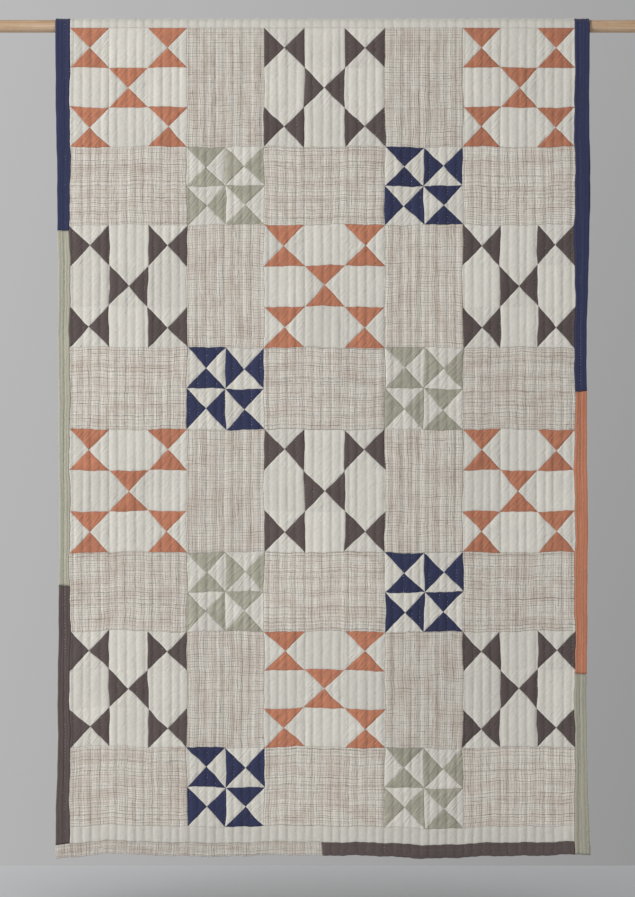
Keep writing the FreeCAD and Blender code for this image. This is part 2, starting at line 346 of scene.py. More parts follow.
@dataclass
class Drape:
    """Hangs flat cloth over the pole: where each place of the quilt comes to rest."""

    swatch: QuiltedSwatch
    pieced_half: float
    half_width: float
    hem: float
    middle_radius: float
    wrap_angle: float = math.radians(60.0)
    straight: float = 19.59
    turn_radius: float = 12.2
    turn_centre: tuple[float, float] = (-1.875, -35.926)
    edge_radius: float = 1.9
    valley: float = 0.5
    loft: float = 2.1
    back_loft: float = 1.15
    left_bow: float = 8.5
    right_bow: float = 6.5
    corner_drop: float = 6.0
    hem_rise: float = 9.0
    hem_rise_at: float = -530.0
    hem_wave: float = 4.0
    hem_wave_at: float = 130.0
    corner_curl: float = 3.0
    seed: int = 5
    line_shift: Array = field(default_factory=lambda: np.zeros(1))

    def __post_init__(self) -> None:
        """Spread the quilting lines unevenly, as hand and machine do."""
        self.line_shift = np.random.default_rng(self.seed).uniform(-1.5, 1.5, 80)

    @property
    def pocket_end(self) -> float:
        """The cloth's free edge inside the pocket, as a place q."""
        under = self.middle_radius * (math.pi + self.wrap_angle)
        turn = self.turn_radius * self.wrap_angle
        return -(under + self.straight + turn + 103.0 + self.turn_centre[1])

    def quilting_line(self, index: Array, q: Array) -> Array:
        """Place across of a numbered line of quilting at each place down."""
        pitch = self.swatch.channel_mm
        drift = 1.1 * np.sin(q / 310.0 + index * 1.7) + 0.6 * np.sin(q / 97.0 + index * 2.9)
        return index * pitch + self.line_shift[np.mod(index, 80)] + drift

    def puff(self, x: Array, q: Array) -> Array:
        """Height of the batting between the quilting lines, from 0 to about 1."""
        index = np.floor(x / self.swatch.channel_mm).astype(int)
        index = np.where(x < self.quilting_line(index, q), index - 1, index)
        index = np.where(x >= self.quilting_line(index + 1, q), index + 1, index)
        left = self.quilting_line(index, q)
        right = self.quilting_line(index + 1, q)
        fullness = 0.86 + 0.14 * np.sin(q / 150.0 + index * 2.3) + 0.14 * np.sin(q / 63.0 + index * 1.1)
        blown = self.swatch.read(index, (x - left) / (right - left), q)
        flattened = 1.0 - np.clip(1.0 - blown, 0.0, 1.3) ** 2.2
        return (0.75 * flattened + 0.25 * blown) * fullness

    def wander(self, x: Array, q: Array) -> tuple[Array, Array]:
        """Shift flat places as piecing, quilting and washing pull them.

        Args:
            x: Places across in mm.
            q: Places down in mm.

        Returns:
            The shifted places across and down.
        """
        ease = smooth(q, 10.0, 200.0)
        side = x / self.half_width
        rim = np.clip((np.abs(x) - self.pieced_half) / (self.half_width - self.pieced_half), 0.0, 1.0)
        left = self.left_bow * smooth(q, 150.0, 700.0) * smooth(self.hem - q, -10.0, 330.0)
        left += 1.6 * np.sin(q / 160.0) * ease
        right = self.right_bow * smooth(q, 420.0, 760.0) * smooth(self.hem - q, -10.0, 260.0)
        right += 1.4 * np.sin(q / 130.0 + 1.0) * ease
        moved = x + rim * np.where(side < 0, left, -right)
        inner = ease * (1.0 - 0.6 * rim)
        moved += inner * (1.5 * np.sin(q / 47.0 + x / 110.0) + 0.9 * np.sin(q / 19.0 + x / 51.0 + 2.0))
        moved += inner * 0.5 * np.sin(q / 8.3 + x / 33.0)
        sag = 0.35 * np.sin(x * 2 * math.pi / self.swatch.channel_mm + 2.0 * np.sin(q / 61.0))
        sag += (
            1.6 * np.sin(x / 43.0 + q / 150.0)
            + 0.9 * np.sin(x / 17.0 + q / 70.0 + 1.0)
            + 0.5 * np.sin(x / 7.7 + q / 41.0)
        )
        low = np.clip(q / self.hem, 0.0, 1.0) ** 4
        hem = self.corner_drop * np.exp(-(((x + self.half_width) / 70.0) ** 2))
        hem -= self.hem_rise * np.exp(-(((x - self.hem_rise_at) / 75.0) ** 2))
        hem += self.hem_wave * np.sin((x - self.hem_wave_at) / 105.0) * smooth(x, -250.0, 60.0)
        return moved, q + inner * sag + low * hem

    def billow(self, x: Array, drop: Array) -> Array:
        """Gentle standing folds of the hanging cloth, in mm towards the viewer."""
        grow = smooth(drop, 60.0, 1500.0)
        folds = 2.6 * np.sin(x / 92.0 + 0.5 + 0.4 * np.sin(drop / 420.0))
        folds += 2.2 * np.sin(x / 151.0 - drop / 900.0 + 2.0)
        ripple = 1.0 * np.sin(drop / 115.0 + x / 330.0) * smooth(drop, 200.0, 700.0)
        corner = np.exp(-(((np.abs(x) - self.half_width) / 60.0) ** 2)) * smooth(drop, 300.0, 1800.0)
        return grow * folds + ripple + self.corner_curl * corner

    def crease(self, x: Array, q: Array) -> Array:
        """Closeness of each place to a line of quilting, from 0 to 1."""
        index = np.rint(x / self.swatch.channel_mm).astype(int)
        nearest = np.minimum.reduce([np.abs(x - self.quilting_line(index + step, q)) for step in (-1, 0, 1)])
        strength = 0.62 + 0.38 * np.sin(q / 88.0 + index * 2.1) * np.sin(q / 37.0 + index * 4.3)
        return np.exp(-((nearest / 2.2) ** 2)) * strength

    def centreline(self, q: Array) -> tuple[Array, Array, Array, Array]:
        """Follow the middle of the cloth from the hem up, over the pole and into the pocket.

        Args:
            q: Places down the cloth, below zero once over the pole.

        Returns:
            y and z of the cloth's middle and y and z of its outward direction, in mm.
        """
        r = self.middle_radius
        arc = r * (math.pi + self.wrap_angle)
        turn = self.turn_radius * self.wrap_angle
        out = (math.cos(self.wrap_angle), -math.sin(self.wrap_angle))
        run = -q
        angle = math.pi - np.clip(run, 0.0, arc) / r
        y, z = r * np.cos(angle), r * np.sin(angle) - np.maximum(q, 0.0)
        ny, nz = np.cos(angle), np.sin(angle)
        past = np.clip(run - arc, 0.0, self.straight)
        y, z = y + out[1] * past, z - out[0] * past
        bend = np.clip(run - arc - self.straight, 0.0, turn) / self.turn_radius
        phi = math.pi - self.wrap_angle + bend
        turning = bend > 0.0
        cy, cz = self.turn_centre
        y = np.where(turning, cy + self.turn_radius * np.cos(phi), y)
        z = np.where(turning, cz + self.turn_radius * np.sin(phi), z)
        ny = np.where(turning, -np.cos(phi), ny)
        nz = np.where(turning, -np.sin(phi), nz)
        z = z - np.maximum(run - arc - self.straight - turn, 0.0)
        return y, z, ny, nz

    def face_lift(self, x: Array, q: Array) -> Array:
        """Height of the quilt's face over the cloth's middle at shifted places."""
        pressed = 0.55 + 0.45 * smooth(q, 0.0, 90.0)
        return self.valley + self.loft * self.puff(x, q) * pressed

    def back_lift(self, x: Array, q: Array) -> Array:
        """Depth of the backing under the cloth's middle at shifted places."""
        inside = np.minimum(self.half_width - np.abs(x), self.hem - q)
        loft = self.back_loft + 0.6 * smooth(q, 108.0, 160.0) * smooth(inside, 20.0, 50.0)
        return -(0.45 + loft * np.clip(self.puff(x, q), 0.0, 1.1))

    def hang(self, flat: Array, shifted: bool = False) -> Array:
        """Hang flat points.

        Args:
            flat: Rows of x, minus q and lift, in mm.
            shifted: True if the points already lie where the cloth wanders to.

        Returns:
            Rows of x, y, z in metres.
        """
        x, q, lift = flat[:, 0], -flat[:, 1], flat[:, 2]
        if not shifted:
            x, q = self.wander(x, q)
        y, z, ny, nz = self.centreline(q)
        drop = np.maximum(-z, 0.0)
        y = y + ny * lift - self.billow(x, drop)
        return np.column_stack([x, y, z + nz * lift]) * MM


@dataclass
class ClothPiece:
    """One piece of cloth on its way from the cutting table to the quilt."""

    name: str
    bm: bmesh.types.BMesh = field(default_factory=bmesh.new)
    materials: list[bpy.types.Material] = field(default_factory=list)

    def grid(
        self, x0: float, x1: float, q0: float, q1: float, columns: int, rows: int
    ) -> list[bmesh.types.BMFace]:
        """Lay a flat rectangle of cloth.

        Args:
            x0: Left side in mm.
            x1: Right side in mm.
            q0: Top in mm down.
            q1: Bottom in mm down.
            columns: Cells across.
            rows: Cells down.

        Returns:
            The new faces.
        """
        place = Matrix.Translation(
            ((x0 + x1) / 2, -(q0 + q1) / 2, 0)
        ) @ Matrix.Diagonal((x1 - x0, q1 - q0, 1, 1))
        made = bmesh.ops.create_grid(self.bm, x_segments=columns, y_segments=rows, size=0.5, matrix=place)
        return list({face for vert in made["verts"] for face in vert.link_faces})

    def cut(
        self, faces: list[bmesh.types.BMFace], point: Sequence[float], normal: Sequence[float]
    ) -> list[bmesh.types.BMFace]:
        """Cut some faces along a straight line.

        Args:
            faces: The faces to cut.
            point: A place x, minus q on the line.
            normal: The direction square to the line.

        Returns:
            The faces after the cut.
        """
        verts = {vert for face in faces for vert in face.verts}
        edges = {edge for face in faces for edge in face.edges}
        found = bmesh.ops.bisect_plane(
            self.bm, geom=[*verts, *edges, *faces], dist=0.02, plane_co=(point[0], point[1], 0), plane_no=(
                normal[0], normal[1], 0
            )
        )
        return [item for item in found["geom"] if isinstance(item, bmesh.types.BMFace)]

    def run_on(self, places: Sequence[float]) -> None:
        """Leave no crease where the cloth runs on into the next piece.

        Args:
            places: Places down, in mm, where this piece is only parted from its neighbour.
        """
        for edge in self.bm.edges:
            if edge.is_boundary and any(
                all(abs(vert.co.y + q) < 0.01 for vert in edge.verts) for q in places
            ):
                edge.smooth = False

    def mesh(self) -> bpy.types.Mesh:
        """Make the piece's mesh, smooth shaded, and let go of the bmesh."""
        mesh = bpy.data.meshes.new(self.name)
        for face in self.bm.faces:
            face.smooth = True
        self.bm.to_mesh(mesh)
        self.bm.free()
        for material in self.materials:
            mesh.materials.append(material)
        return mesh


def points_of(mesh: bpy.types.Mesh) -> Array:
    """Return a mesh's points as rows of x, y, z."""
    flat = np.empty(len(mesh.vertices) * 3, np.float64)
    mesh.vertices.foreach_get("co", flat)
    return flat.reshape(-1, 3)


def set_points(mesh: bpy.types.Mesh, points: Array) -> None:
    """Move a mesh's points."""
    mesh.vertices.foreach_set("co", np.ascontiguousarray(points, np.float32).ravel())
    mesh.update()


def lay_pattern(mesh: bpy.types.Mesh, turned: bool = False) -> None:
    """Give cloth its flat places as a UV map in metres, and every patch its own part of the weave.

    Args:
        mesh: A flat piece, with its patch numbers on its faces if it is pieced.
        turned: True where the cloth was cut with its weave on its side.
    """
    places = points_of(mesh)
    corner = np.empty(len(mesh.loops), np.int32)
    mesh.loops.foreach_get("vertex_index", corner)
    u, v = places[corner, 0] * MM, places[corner, 1] * MM
    if turned:
        u, v = v, u
    patch = mesh.attributes.get("patch")
    if patch is not None:
        number = np.empty(len(mesh.polygons), np.float32)
        patch.data.foreach_get("value", number)
        loops = np.empty(len(mesh.polygons), np.int32)
        mesh.polygons.foreach_get("loop_total", loops)
        each = np.repeat(number, loops)
        u, v = u + 0.137 * np.mod(each * 7.0, 11.0), v + 0.211 * np.mod(each * 5.0, 13.0)
    layer = mesh.uv_layers.new(name="weave")
    layer.data.foreach_set("uv", np.column_stack([u, v]).astype(np.float32).ravel())


def set_face_numbers(mesh: bpy.types.Mesh, name: str, values: Array) -> None:
    """Store one number on each face."""
    mesh.attributes.new(name, "FLOAT", "FACE").data.foreach_set("value", values.astype(np.float32))


def set_point_numbers(mesh: bpy.types.Mesh, name: str, values: Array) -> None:
    """Store one number on each point."""
    mesh.attributes.new(name, "FLOAT", "POINT").data.foreach_set("value", values.astype(np.float32))


def place_piece(
    name: str, mesh: bpy.types.Mesh, thickness: float = 0.0, offset: float = -1.0
) -> bpy.types.Object:
    """Put a finished mesh in the scene, with a wall if it is thin cloth.

    Args:
        name: The piece's name.
        mesh: Its mesh, in metres and in place.
        thickness: Wall in metres, or nought.
        offset: Side of the mesh that the wall lies on.

    Returns:
        The object.
    """
    piece = bpy.data.objects.new(name, mesh)
    bpy.context.scene.collection.objects.link(piece)
    if thickness:
        wall = piece.modifiers.new("wall", "SOLIDIFY")
        wall.thickness = thickness
        wall.offset = offset
    return piece


@dataclass(frozen=True)
class Cotton:
    """Plain-woven quilting cotton, printed or dyed in one colour and washed.

    Threads are about 0.4 mm apart, so the slubs and the mottle of washing are
    what the eye sees from across a room: they are drawn 2 to 90 mm long. The
    fibre ends give a soft, dull surface with a little sheen at its edges.
    """

    cloth: Cloth
    colour: str
    slub: float = 0.05
    mottle: float = 0.05
    seam_shade: float = 0.24
    crease_shade: float = 0.14
    pucker_mm: float = 4.3
    pucker_shade: float = 0.05
    roughness: float = 0.92
    sheen: float = 0.1

    def material(self) -> bpy.types.Material:
        """Make the cotton's material."""
        made = bare_material(self.cloth.value)
        tree = made.node_tree
        place = add_node(tree, "ShaderNodeUVMap", {"uv_map": "weave"}, {})
        warp = add_node(
            tree,
            "ShaderNodeMapping",
            {"Scale": (1 / (2.4 * MM), 1 / (30 * MM), 1.0)},
            {"Vector": place.outputs["UV"]},
        )
        weft = add_node(
            tree,
            "ShaderNodeMapping",
            {"Scale": (1 / (26 * MM), 1 / (2.0 * MM), 1.0)},
            {"Vector": place.outputs["UV"]},
        )
        up = add_node(tree, "ShaderNodeTexNoise", {"Scale": 1.0, "Detail": 1.0}, {"Vector": warp.outputs[0]})
        over = add_node(
            tree, "ShaderNodeTexNoise", {"Scale": 1.0, "Detail": 1.0}, {"Vector": weft.outputs[0]}
        )
        slubs = add_node(
            tree, "ShaderNodeMath", {"operation": "ADD"}, {0: up.outputs["Fac"], 1: over.outputs["Fac"]}
        )
        wash = add_node(
            tree,
            "ShaderNodeTexNoise",
            {"Scale": 1 / (60 * MM), "Detail": 4.0},
            {"Vector": place.outputs["UV"]},
        )
        turned = add_node(
            tree,
            "ShaderNodeMapping",
            {"Rotation": (0.0, 0.0, math.radians(38.0))},
            {"Vector": place.outputs["UV"]},
        )
        drawn = add_node(
            tree,
            "ShaderNodeMapping",
            {"Scale": (1 / (self.pucker_mm * MM), 1 / (42 * MM), 1.0)},
            {"Vector": turned.outputs[0]},
        )
        ridges = add_node(
            tree,
            "ShaderNodeTexNoise",
            {"Scale": 1.0, "Detail": 1.0, "Distortion": 0.3},
            {"Vector": drawn.outputs[0]},
        )
        amount = add_node(tree, "ShaderNodeAttribute", {"attribute_name": "pucker"}, {})
        rise = add_node(
            tree, "ShaderNodeMapRange", {1: 0.35, 2: 0.65, 3: -1.0, 4: 1.0}, {0: ridges.outputs["Fac"]}
        )
        pucker = product(tree, rise.outputs[0], amount.outputs["Fac"])
        thread = add_node(
            tree,
            "ShaderNodeMath",
            {"operation": "MULTIPLY_ADD", 1: self.slub, 2: 1.0 - self.slub},
            {0: slubs.outputs[0]},
        )
        washed = add_node(
            tree, "ShaderNodeMath", {
                "operation": "MULTIPLY_ADD", 1: self.mottle * 2, 2: 1.0 - self.mottle
            }, {0: wash.outputs["Fac"]}
        )
        # Painted shade and highlight: the colour is darkened and lightened across the pucker wrinkles.
        folded = add_node(
            tree, "ShaderNodeMath", {"operation": "MULTIPLY_ADD", 1: self.pucker_shade, 2: 1.0}, {0: pucker}
        )
        value = product(
            tree,
            thread.outputs[0],
            washed.outputs[0],
            folded.outputs[0],
            tone_and_painted_shade(tree, self.seam_shade, self.crease_shade),
        )
        dyed = add_node(
            tree,
            "ShaderNodeVectorMath",
            {"operation": "SCALE", 0: linear(self.colour)[:3]},
            {"Scale": value},
        )
        weave = add_node(tree, "ShaderNodeMath", {"operation": "MULTIPLY", 1: 0.12}, {0: slubs.outputs[0]})
        drawn_in = add_node(
            tree, "ShaderNodeMath", {"operation": "MULTIPLY_ADD", 1: 0.26}, {0: pucker, 2: weave.outputs[0]}
        )
        height = add_node(
            tree,
            "ShaderNodeMath",
            {"operation": "ADD"},
            {0: drawn_in.outputs[0], 1: crinkle(tree, place.outputs["UV"])},
        )
        bump = add_node(
            tree, "ShaderNodeBump", {"Strength": 1.0, "Distance": MM}, {"Height": height.outputs[0]}
        )
        shader = add_node(
            tree,
            "ShaderNodeBsdfPrincipled",
            {
                "Roughness": self.roughness,
                "Sheen Weight": self.sheen,
                "Sheen Roughness": 0.6,
                "Specular IOR Level": 0.2,
            },
            {"Base Color": dyed.outputs[0], "Normal": bump.outputs[0]},
        )
        add_node(tree, "ShaderNodeOutputMaterial", {}, {"Surface": shader.outputs[0]})
        return made


@dataclass(frozen=True)
class Plaid:
    """Cream cotton woven with thin uneven grey, brown and rose threads.

    The dark warp threads stand 5 to 6 mm apart and come and go as slubs do, and
    the weft threads are finer and paler. One thread is about 0.6 mm wide; it is
    drawn up to 1.6 mm wide so that it shows from across a room.
    """

    cloth: Cloth
    ground: str = "E9E4DB"
    thread: str = "513F31"
    tint: str = "CBB5A6"
    warp_mm: float = 5.7
    weft_mm: float = 6.8

    def stripes(
        self,
        tree: bpy.types.NodeTree,
        along: Any,
        across: Any,
        pitch: float,
        seed: float,
        dash: float,
        rare: float,
    ) -> Any:
        """Draw one set of threads.

        Args:
            tree: The material's nodes.
            along: Socket of the place along the threads in metres.
            across: Socket of the place across the threads in metres.
            pitch: Spacing of the threads in mm.
            seed: Number that sets this set apart from the other.
            dash: Length in mm over which a thread comes and goes.
            rare: Power that leaves few threads strong and the rest weak.

        Returns:
            The socket of the threads' strength, from 0 to 1.
        """
        row = add_node(tree, "ShaderNodeMath", {"operation": "DIVIDE", 1: pitch * MM}, {0: across})
        number = add_node(tree, "ShaderNodeMath", {"operation": "FLOOR"}, {0: row.outputs[0]})
        inside = add_node(
            tree, "ShaderNodeMath", {"operation": "SUBTRACT"}, {0: row.outputs[0], 1: number.outputs[0]}
        )
        own = add_node(tree, "ShaderNodeMath", {"operation": "ADD", 1: seed}, {0: number.outputs[0]})
        chance = add_node(tree, "ShaderNodeTexWhiteNoise", {"noise_dimensions": "1D"}, {"W": own.outputs[0]})
        shift = add_node(
            tree,
            "ShaderNodeMath",
            {"operation": "MULTIPLY_ADD", 1: 0.44, 2: 0.28},
            {0: chance.outputs["Value"]},
        )
        off = add_node(
            tree, "ShaderNodeMath", {"operation": "SUBTRACT"}, {0: inside.outputs[0], 1: shift.outputs[0]}
        )
        gap = add_node(tree, "ShaderNodeMath", {"operation": "ABSOLUTE"}, {0: off.outputs[0]})
        line = add_node(
            tree,
            "ShaderNodeMapRange",
            {"interpolation_type": "SMOOTHSTEP", 1: 0.4 / pitch, 2: 1.05 / pitch, 3: 1.0, 4: 0.0},
            {0: gap.outputs[0]},
        )
        lane = add_node(tree, "ShaderNodeMath", {"operation": "MULTIPLY", 1: 3.7}, {0: own.outputs[0]})
        length = add_node(tree, "ShaderNodeMath", {"operation": "DIVIDE", 1: dash * MM}, {0: along})
        spot = add_node(tree, "ShaderNodeCombineXYZ", {}, {0: length.outputs[0], 1: lane.outputs[0]})
        comes = add_node(
            tree,
            "ShaderNodeTexNoise",
            {"Scale": 1.0, "Detail": 3.0, "Roughness": 0.75},
            {"Vector": spot.outputs[0]},
        )
        strong = add_node(
            tree, "ShaderNodeMapRange", {1: 0.35, 2: 0.66, 3: 0.2, 4: 0.95}, {0: comes.outputs["Fac"]}
        )
        own_depth = add_node(tree, "ShaderNodeMath", {"operation": "ADD", 1: 0.37}, {0: own.outputs[0]})
        lot = add_node(
            tree, "ShaderNodeTexWhiteNoise", {"noise_dimensions": "1D"}, {"W": own_depth.outputs[0]}
        )
        depth = add_node(tree, "ShaderNodeMath", {"operation": "POWER", 1: rare}, {0: lot.outputs["Value"]})
        level = add_node(
            tree, "ShaderNodeMath", {"operation": "MULTIPLY_ADD", 1: 0.62, 2: 0.36}, {0: depth.outputs[0]}
        )
        drawn = add_node(
            tree, "ShaderNodeMath", {"operation": "MULTIPLY"}, {0: line.outputs[0], 1: strong.outputs[0]}
        )
        return add_node(
            tree, "ShaderNodeMath", {"operation": "MULTIPLY"}, {0: drawn.outputs[0], 1: level.outputs[0]}
        ).outputs[0]

    def material(self) -> bpy.types.Material:
        """Make the plaid's material."""
        made = bare_material(self.cloth.value)
        tree = made.node_tree
        place = add_node(tree, "ShaderNodeUVMap", {"uv_map": "weave"}, {})
        wavy = add_node(
            tree,
            "ShaderNodeTexNoise",
            {"Scale": 1 / (45 * MM), "Detail": 1.0},
            {"Vector": place.outputs["UV"]},
        )
        pull = add_node(
            tree,
            "ShaderNodeVectorMath",
            {"operation": "SCALE", "Scale": 3.2 * MM},
            {0: wavy.outputs["Color"]},
        )
        pulled = add_node(
            tree, "ShaderNodeVectorMath", {"operation": "ADD"}, {0: place.outputs["UV"], 1: pull.outputs[0]}
        )
        split = add_node(tree, "ShaderNodeSeparateXYZ", {}, {0: pulled.outputs[0]})
        x, y = split.outputs[0], split.outputs[1]
        warp = self.stripes(tree, y, x, self.warp_mm, 17.0, 30.0, 2.6)
        slip = self.stripes(tree, y, x, self.warp_mm * 1.62, 203.0, 34.0, 1.2)
        weft = self.stripes(tree, x, y, self.weft_mm, 431.0, 46.0, 0.6)
        faint = add_node(tree, "ShaderNodeMath", {"operation": "MULTIPLY", 1: 0.86}, {0: weft})
        upright = add_node(tree, "ShaderNodeMath", {"operation": "MAXIMUM"}, {0: warp, 1: slip})
        threads = add_node(
            tree, "ShaderNodeMath", {"operation": "MAXIMUM"}, {0: upright.outputs[0], 1: faint.outputs[0]}
        )
        patch = add_node(
            tree,
            "ShaderNodeMapping",
            {"Scale": (1 / (34 * MM), 1 / (80 * MM), 1.0)},
            {"Vector": place.outputs["UV"]},
        )
        warm = add_node(
            tree, "ShaderNodeTexNoise", {"Scale": 1.0, "Detail": 2.0}, {"Vector": patch.outputs[0]}
        )
        amount = add_node(
            tree, "ShaderNodeMapRange", {1: 0.42, 2: 0.75, 3: 0.0, 4: 0.5}, {0: warm.outputs["Fac"]}
        )
        base = add_node(
            tree,
            "ShaderNodeMix",
            {"data_type": "RGBA", 6: linear(self.ground), 7: linear(self.tint)},
            {0: amount.outputs[0]},
        )
        weave = add_node(
            tree,
            "ShaderNodeMix",
            {"data_type": "RGBA", 7: linear(self.thread)},
            {0: threads.outputs[0], 6: base.outputs[2]},
        )
        # Painted shade in the seams and quilting lines, times the patch tone.
        shade = tone_and_painted_shade(tree, 0.25, 0.12)
        woven = add_node(
            tree, "ShaderNodeVectorMath", {"operation": "SCALE"}, {0: weave.outputs[2], "Scale": shade}
        )
        woven_in = add_node(
            tree,
            "ShaderNodeMath",
            {"operation": "MULTIPLY_ADD", 1: 0.08},
            {0: threads.outputs[0], 2: crinkle(tree, place.outputs["UV"])},
        )
        bump = add_node(
            tree, "ShaderNodeBump", {"Strength": 1.0, "Distance": MM}, {"Height": woven_in.outputs[0]}
        )
        shader = add_node(
            tree,
            "ShaderNodeBsdfPrincipled",
            {"Roughness": 0.92, "Sheen Weight": 0.1, "Sheen Roughness": 0.6, "Specular IOR Level": 0.2},
            {"Base Color": woven.outputs[0], "Normal": bump.outputs[0]},
        )
        add_node(tree, "ShaderNodeOutputMaterial", {}, {"Surface": shader.outputs[0]})
        return made


@dataclass(frozen=True)
class QuiltingThread:
    """White cotton quilting thread, three strands twisted and glazed smooth."""

    colour: str = "F1EDE5"

    def material(self) -> bpy.types.Material:
        """Make the thread's material, with painted shade in the grooves of its twisted strands."""
        made = bare_material("quilting_thread")
        tree = made.node_tree
        place = add_node(tree, "ShaderNodeTexCoord", {}, {})
        # Painted shade: darker bands stand for the grooves between the twisted strands.
        twist_shade = add_node(
            tree, "ShaderNodeTexWave", {
                "bands_direction": "DIAGONAL", "Scale": 1 / (1.2 * MM) / 20
            }, {"Vector": place.outputs["Object"]}
        )
        ramp = add_node(
            tree,
            "ShaderNodeMix",
            {"data_type": "RGBA", 6: linear("CFC9BD"), 7: linear(self.colour)},
            {0: twist_shade.outputs["Fac"]},
        )
        shader = add_node(
            tree,
            "ShaderNodeBsdfPrincipled",
            {"Roughness": 0.6, "Sheen Weight": 0.1},
            {"Base Color": ramp.outputs[2]},
        )
        add_node(tree, "ShaderNodeOutputMaterial", {}, {"Surface": shader.outputs[0]})
        return made


@dataclass(frozen=True)
class BareDowel:
    """A bare ash dowel, turned and sanded along its length.

    The grain runs along the pole in streaks 2 to 4 mm wide and a hand or two
    long, with short darker pores, and the sanded wood is dull with a faint gloss.
    """

    light: str = "E2C9AD"
    dark: str = "C29C78"
    pore: str = "9C7757"

    def material(self) -> bpy.types.Material:
        """Make the dowel's material."""
        made = bare_material("bare_ash_dowel")
        tree = made.node_tree
        place = add_node(tree, "ShaderNodeTexCoord", {}, {})
        long = add_node(
            tree, "ShaderNodeMapping", {
                "Scale": (1 / (160 * MM), 1 / (3.2 * MM), 1 / (3.2 * MM))
            }, {"Vector": place.outputs["Object"]}
        )
        grain = add_node(
            tree,
            "ShaderNodeTexNoise",
            {"Scale": 1.0, "Detail": 4.0, "Roughness": 0.6, "Distortion": 0.4},
            {"Vector": long.outputs[0]},
        )
        wide = add_node(
            tree,
            "ShaderNodeTexNoise",
            {"Scale": 1 / (70 * MM), "Detail": 2.0},
            {"Vector": place.outputs["Object"]},
        )
        mixed = add_node(
            tree,
            "ShaderNodeMath",
            {"operation": "MULTIPLY_ADD", 1: 0.35},
            {0: wide.outputs["Fac"], 2: grain.outputs["Fac"]},
        )
        streak = add_node(
            tree, "ShaderNodeMapRange", {1: 0.45, 2: 0.9, 3: 0.0, 4: 1.0}, {0: mixed.outputs[0]}
        )
        wood = add_node(
            tree,
            "ShaderNodeMix",
            {"data_type": "RGBA", 6: linear(self.light), 7: linear(self.dark)},
            {0: streak.outputs[0]},
        )
        short = add_node(
            tree, "ShaderNodeMapping", {
                "Scale": (1 / (11 * MM), 1 / (0.9 * MM), 1 / (0.9 * MM))
            }, {"Vector": place.outputs["Object"]}
        )
        pores = add_node(
            tree, "ShaderNodeTexNoise", {"Scale": 1.0, "Detail": 1.0}, {"Vector": short.outputs[0]}
        )
        open_pore = add_node(
            tree, "ShaderNodeMapRange", {1: 0.62, 2: 0.74, 3: 0.0, 4: 0.55}, {0: pores.outputs["Fac"]}
        )
        pored = add_node(
            tree,
            "ShaderNodeMix",
            {"data_type": "RGBA", 7: linear(self.pore)},
            {0: open_pore.outputs[0], 6: wood.outputs[2]},
        )
        rough = add_node(
            tree, "ShaderNodeMapRange", {1: 0.0, 2: 1.0, 3: 0.5, 4: 0.66}, {0: grain.outputs["Fac"]}
        )
        bump = add_node(
            tree,
            "ShaderNodeBump",
            {"Strength": 0.25, "Distance": 0.2 * MM},
            {"Height": grain.outputs["Fac"]},
        )
        shader = add_node(
            tree,
            "ShaderNodeBsdfPrincipled",
            {"IOR": 1.5},
            {"Base Color": pored.outputs[2], "Roughness": rough.outputs[0], "Normal": bump.outputs[0]},
        )
        add_node(tree, "ShaderNodeOutputMaterial", {}, {"Surface": shader.outputs[0]})
        return made


@dataclass
class ClothShelf:
    """Every finish of the quilt, ready to use."""

    finishes: tuple[Any, ...] = (
        Cotton(Cloth.WHITE, "E4E1D9", slub=0.05, mottle=0.07, seam_shade=0.16),
        Cotton(Cloth.CORAL, "C98569", mottle=0.14, crease_shade=0.22, pucker_shade=0.16),
        Cotton(Cloth.CHARCOAL, "635857", mottle=0.13, seam_shade=0.2),
        Cotton(Cloth.SAGE, "B4B2A2", mottle=0.09, pucker_shade=0.13),
        Cotton(Cloth.NAVY, "373C5D", mottle=0.1, seam_shade=0.2),
        Cotton(Cloth.BACKING, "E6E1D8", slub=0.05, seam_shade=0.1),
        Plaid(Cloth.PLAID),
    )
    made: dict[Cloth, bpy.types.Material] = field(default_factory=dict)

    def take(self, cloth: Cloth) -> bpy.types.Material:
        """Return the material of one cloth, made the first time it is asked for."""
        if cloth not in self.made:
            self.made[cloth] = next(f for f in self.finishes if f.cloth is cloth).material()
        return self.made[cloth]


@dataclass(frozen=True)
class Fold:
    """A folding line of the quilt, and how much cloth bends at it."""

    above: str
    below: str
    drop: float
    depth: float
    reach: float

    def bend(self, piece: bpy.types.Object) -> None:
        """Bake a piece's place into its mesh; nothing lets it bend or hangs it on a panel."""
        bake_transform(piece)

    def touches(self, q0: float, q1: float) -> bool:
        """Return whether cloth between two places down meets the bend."""
        return q0 < self.drop + self.reach and q1 > self.drop - self.reach


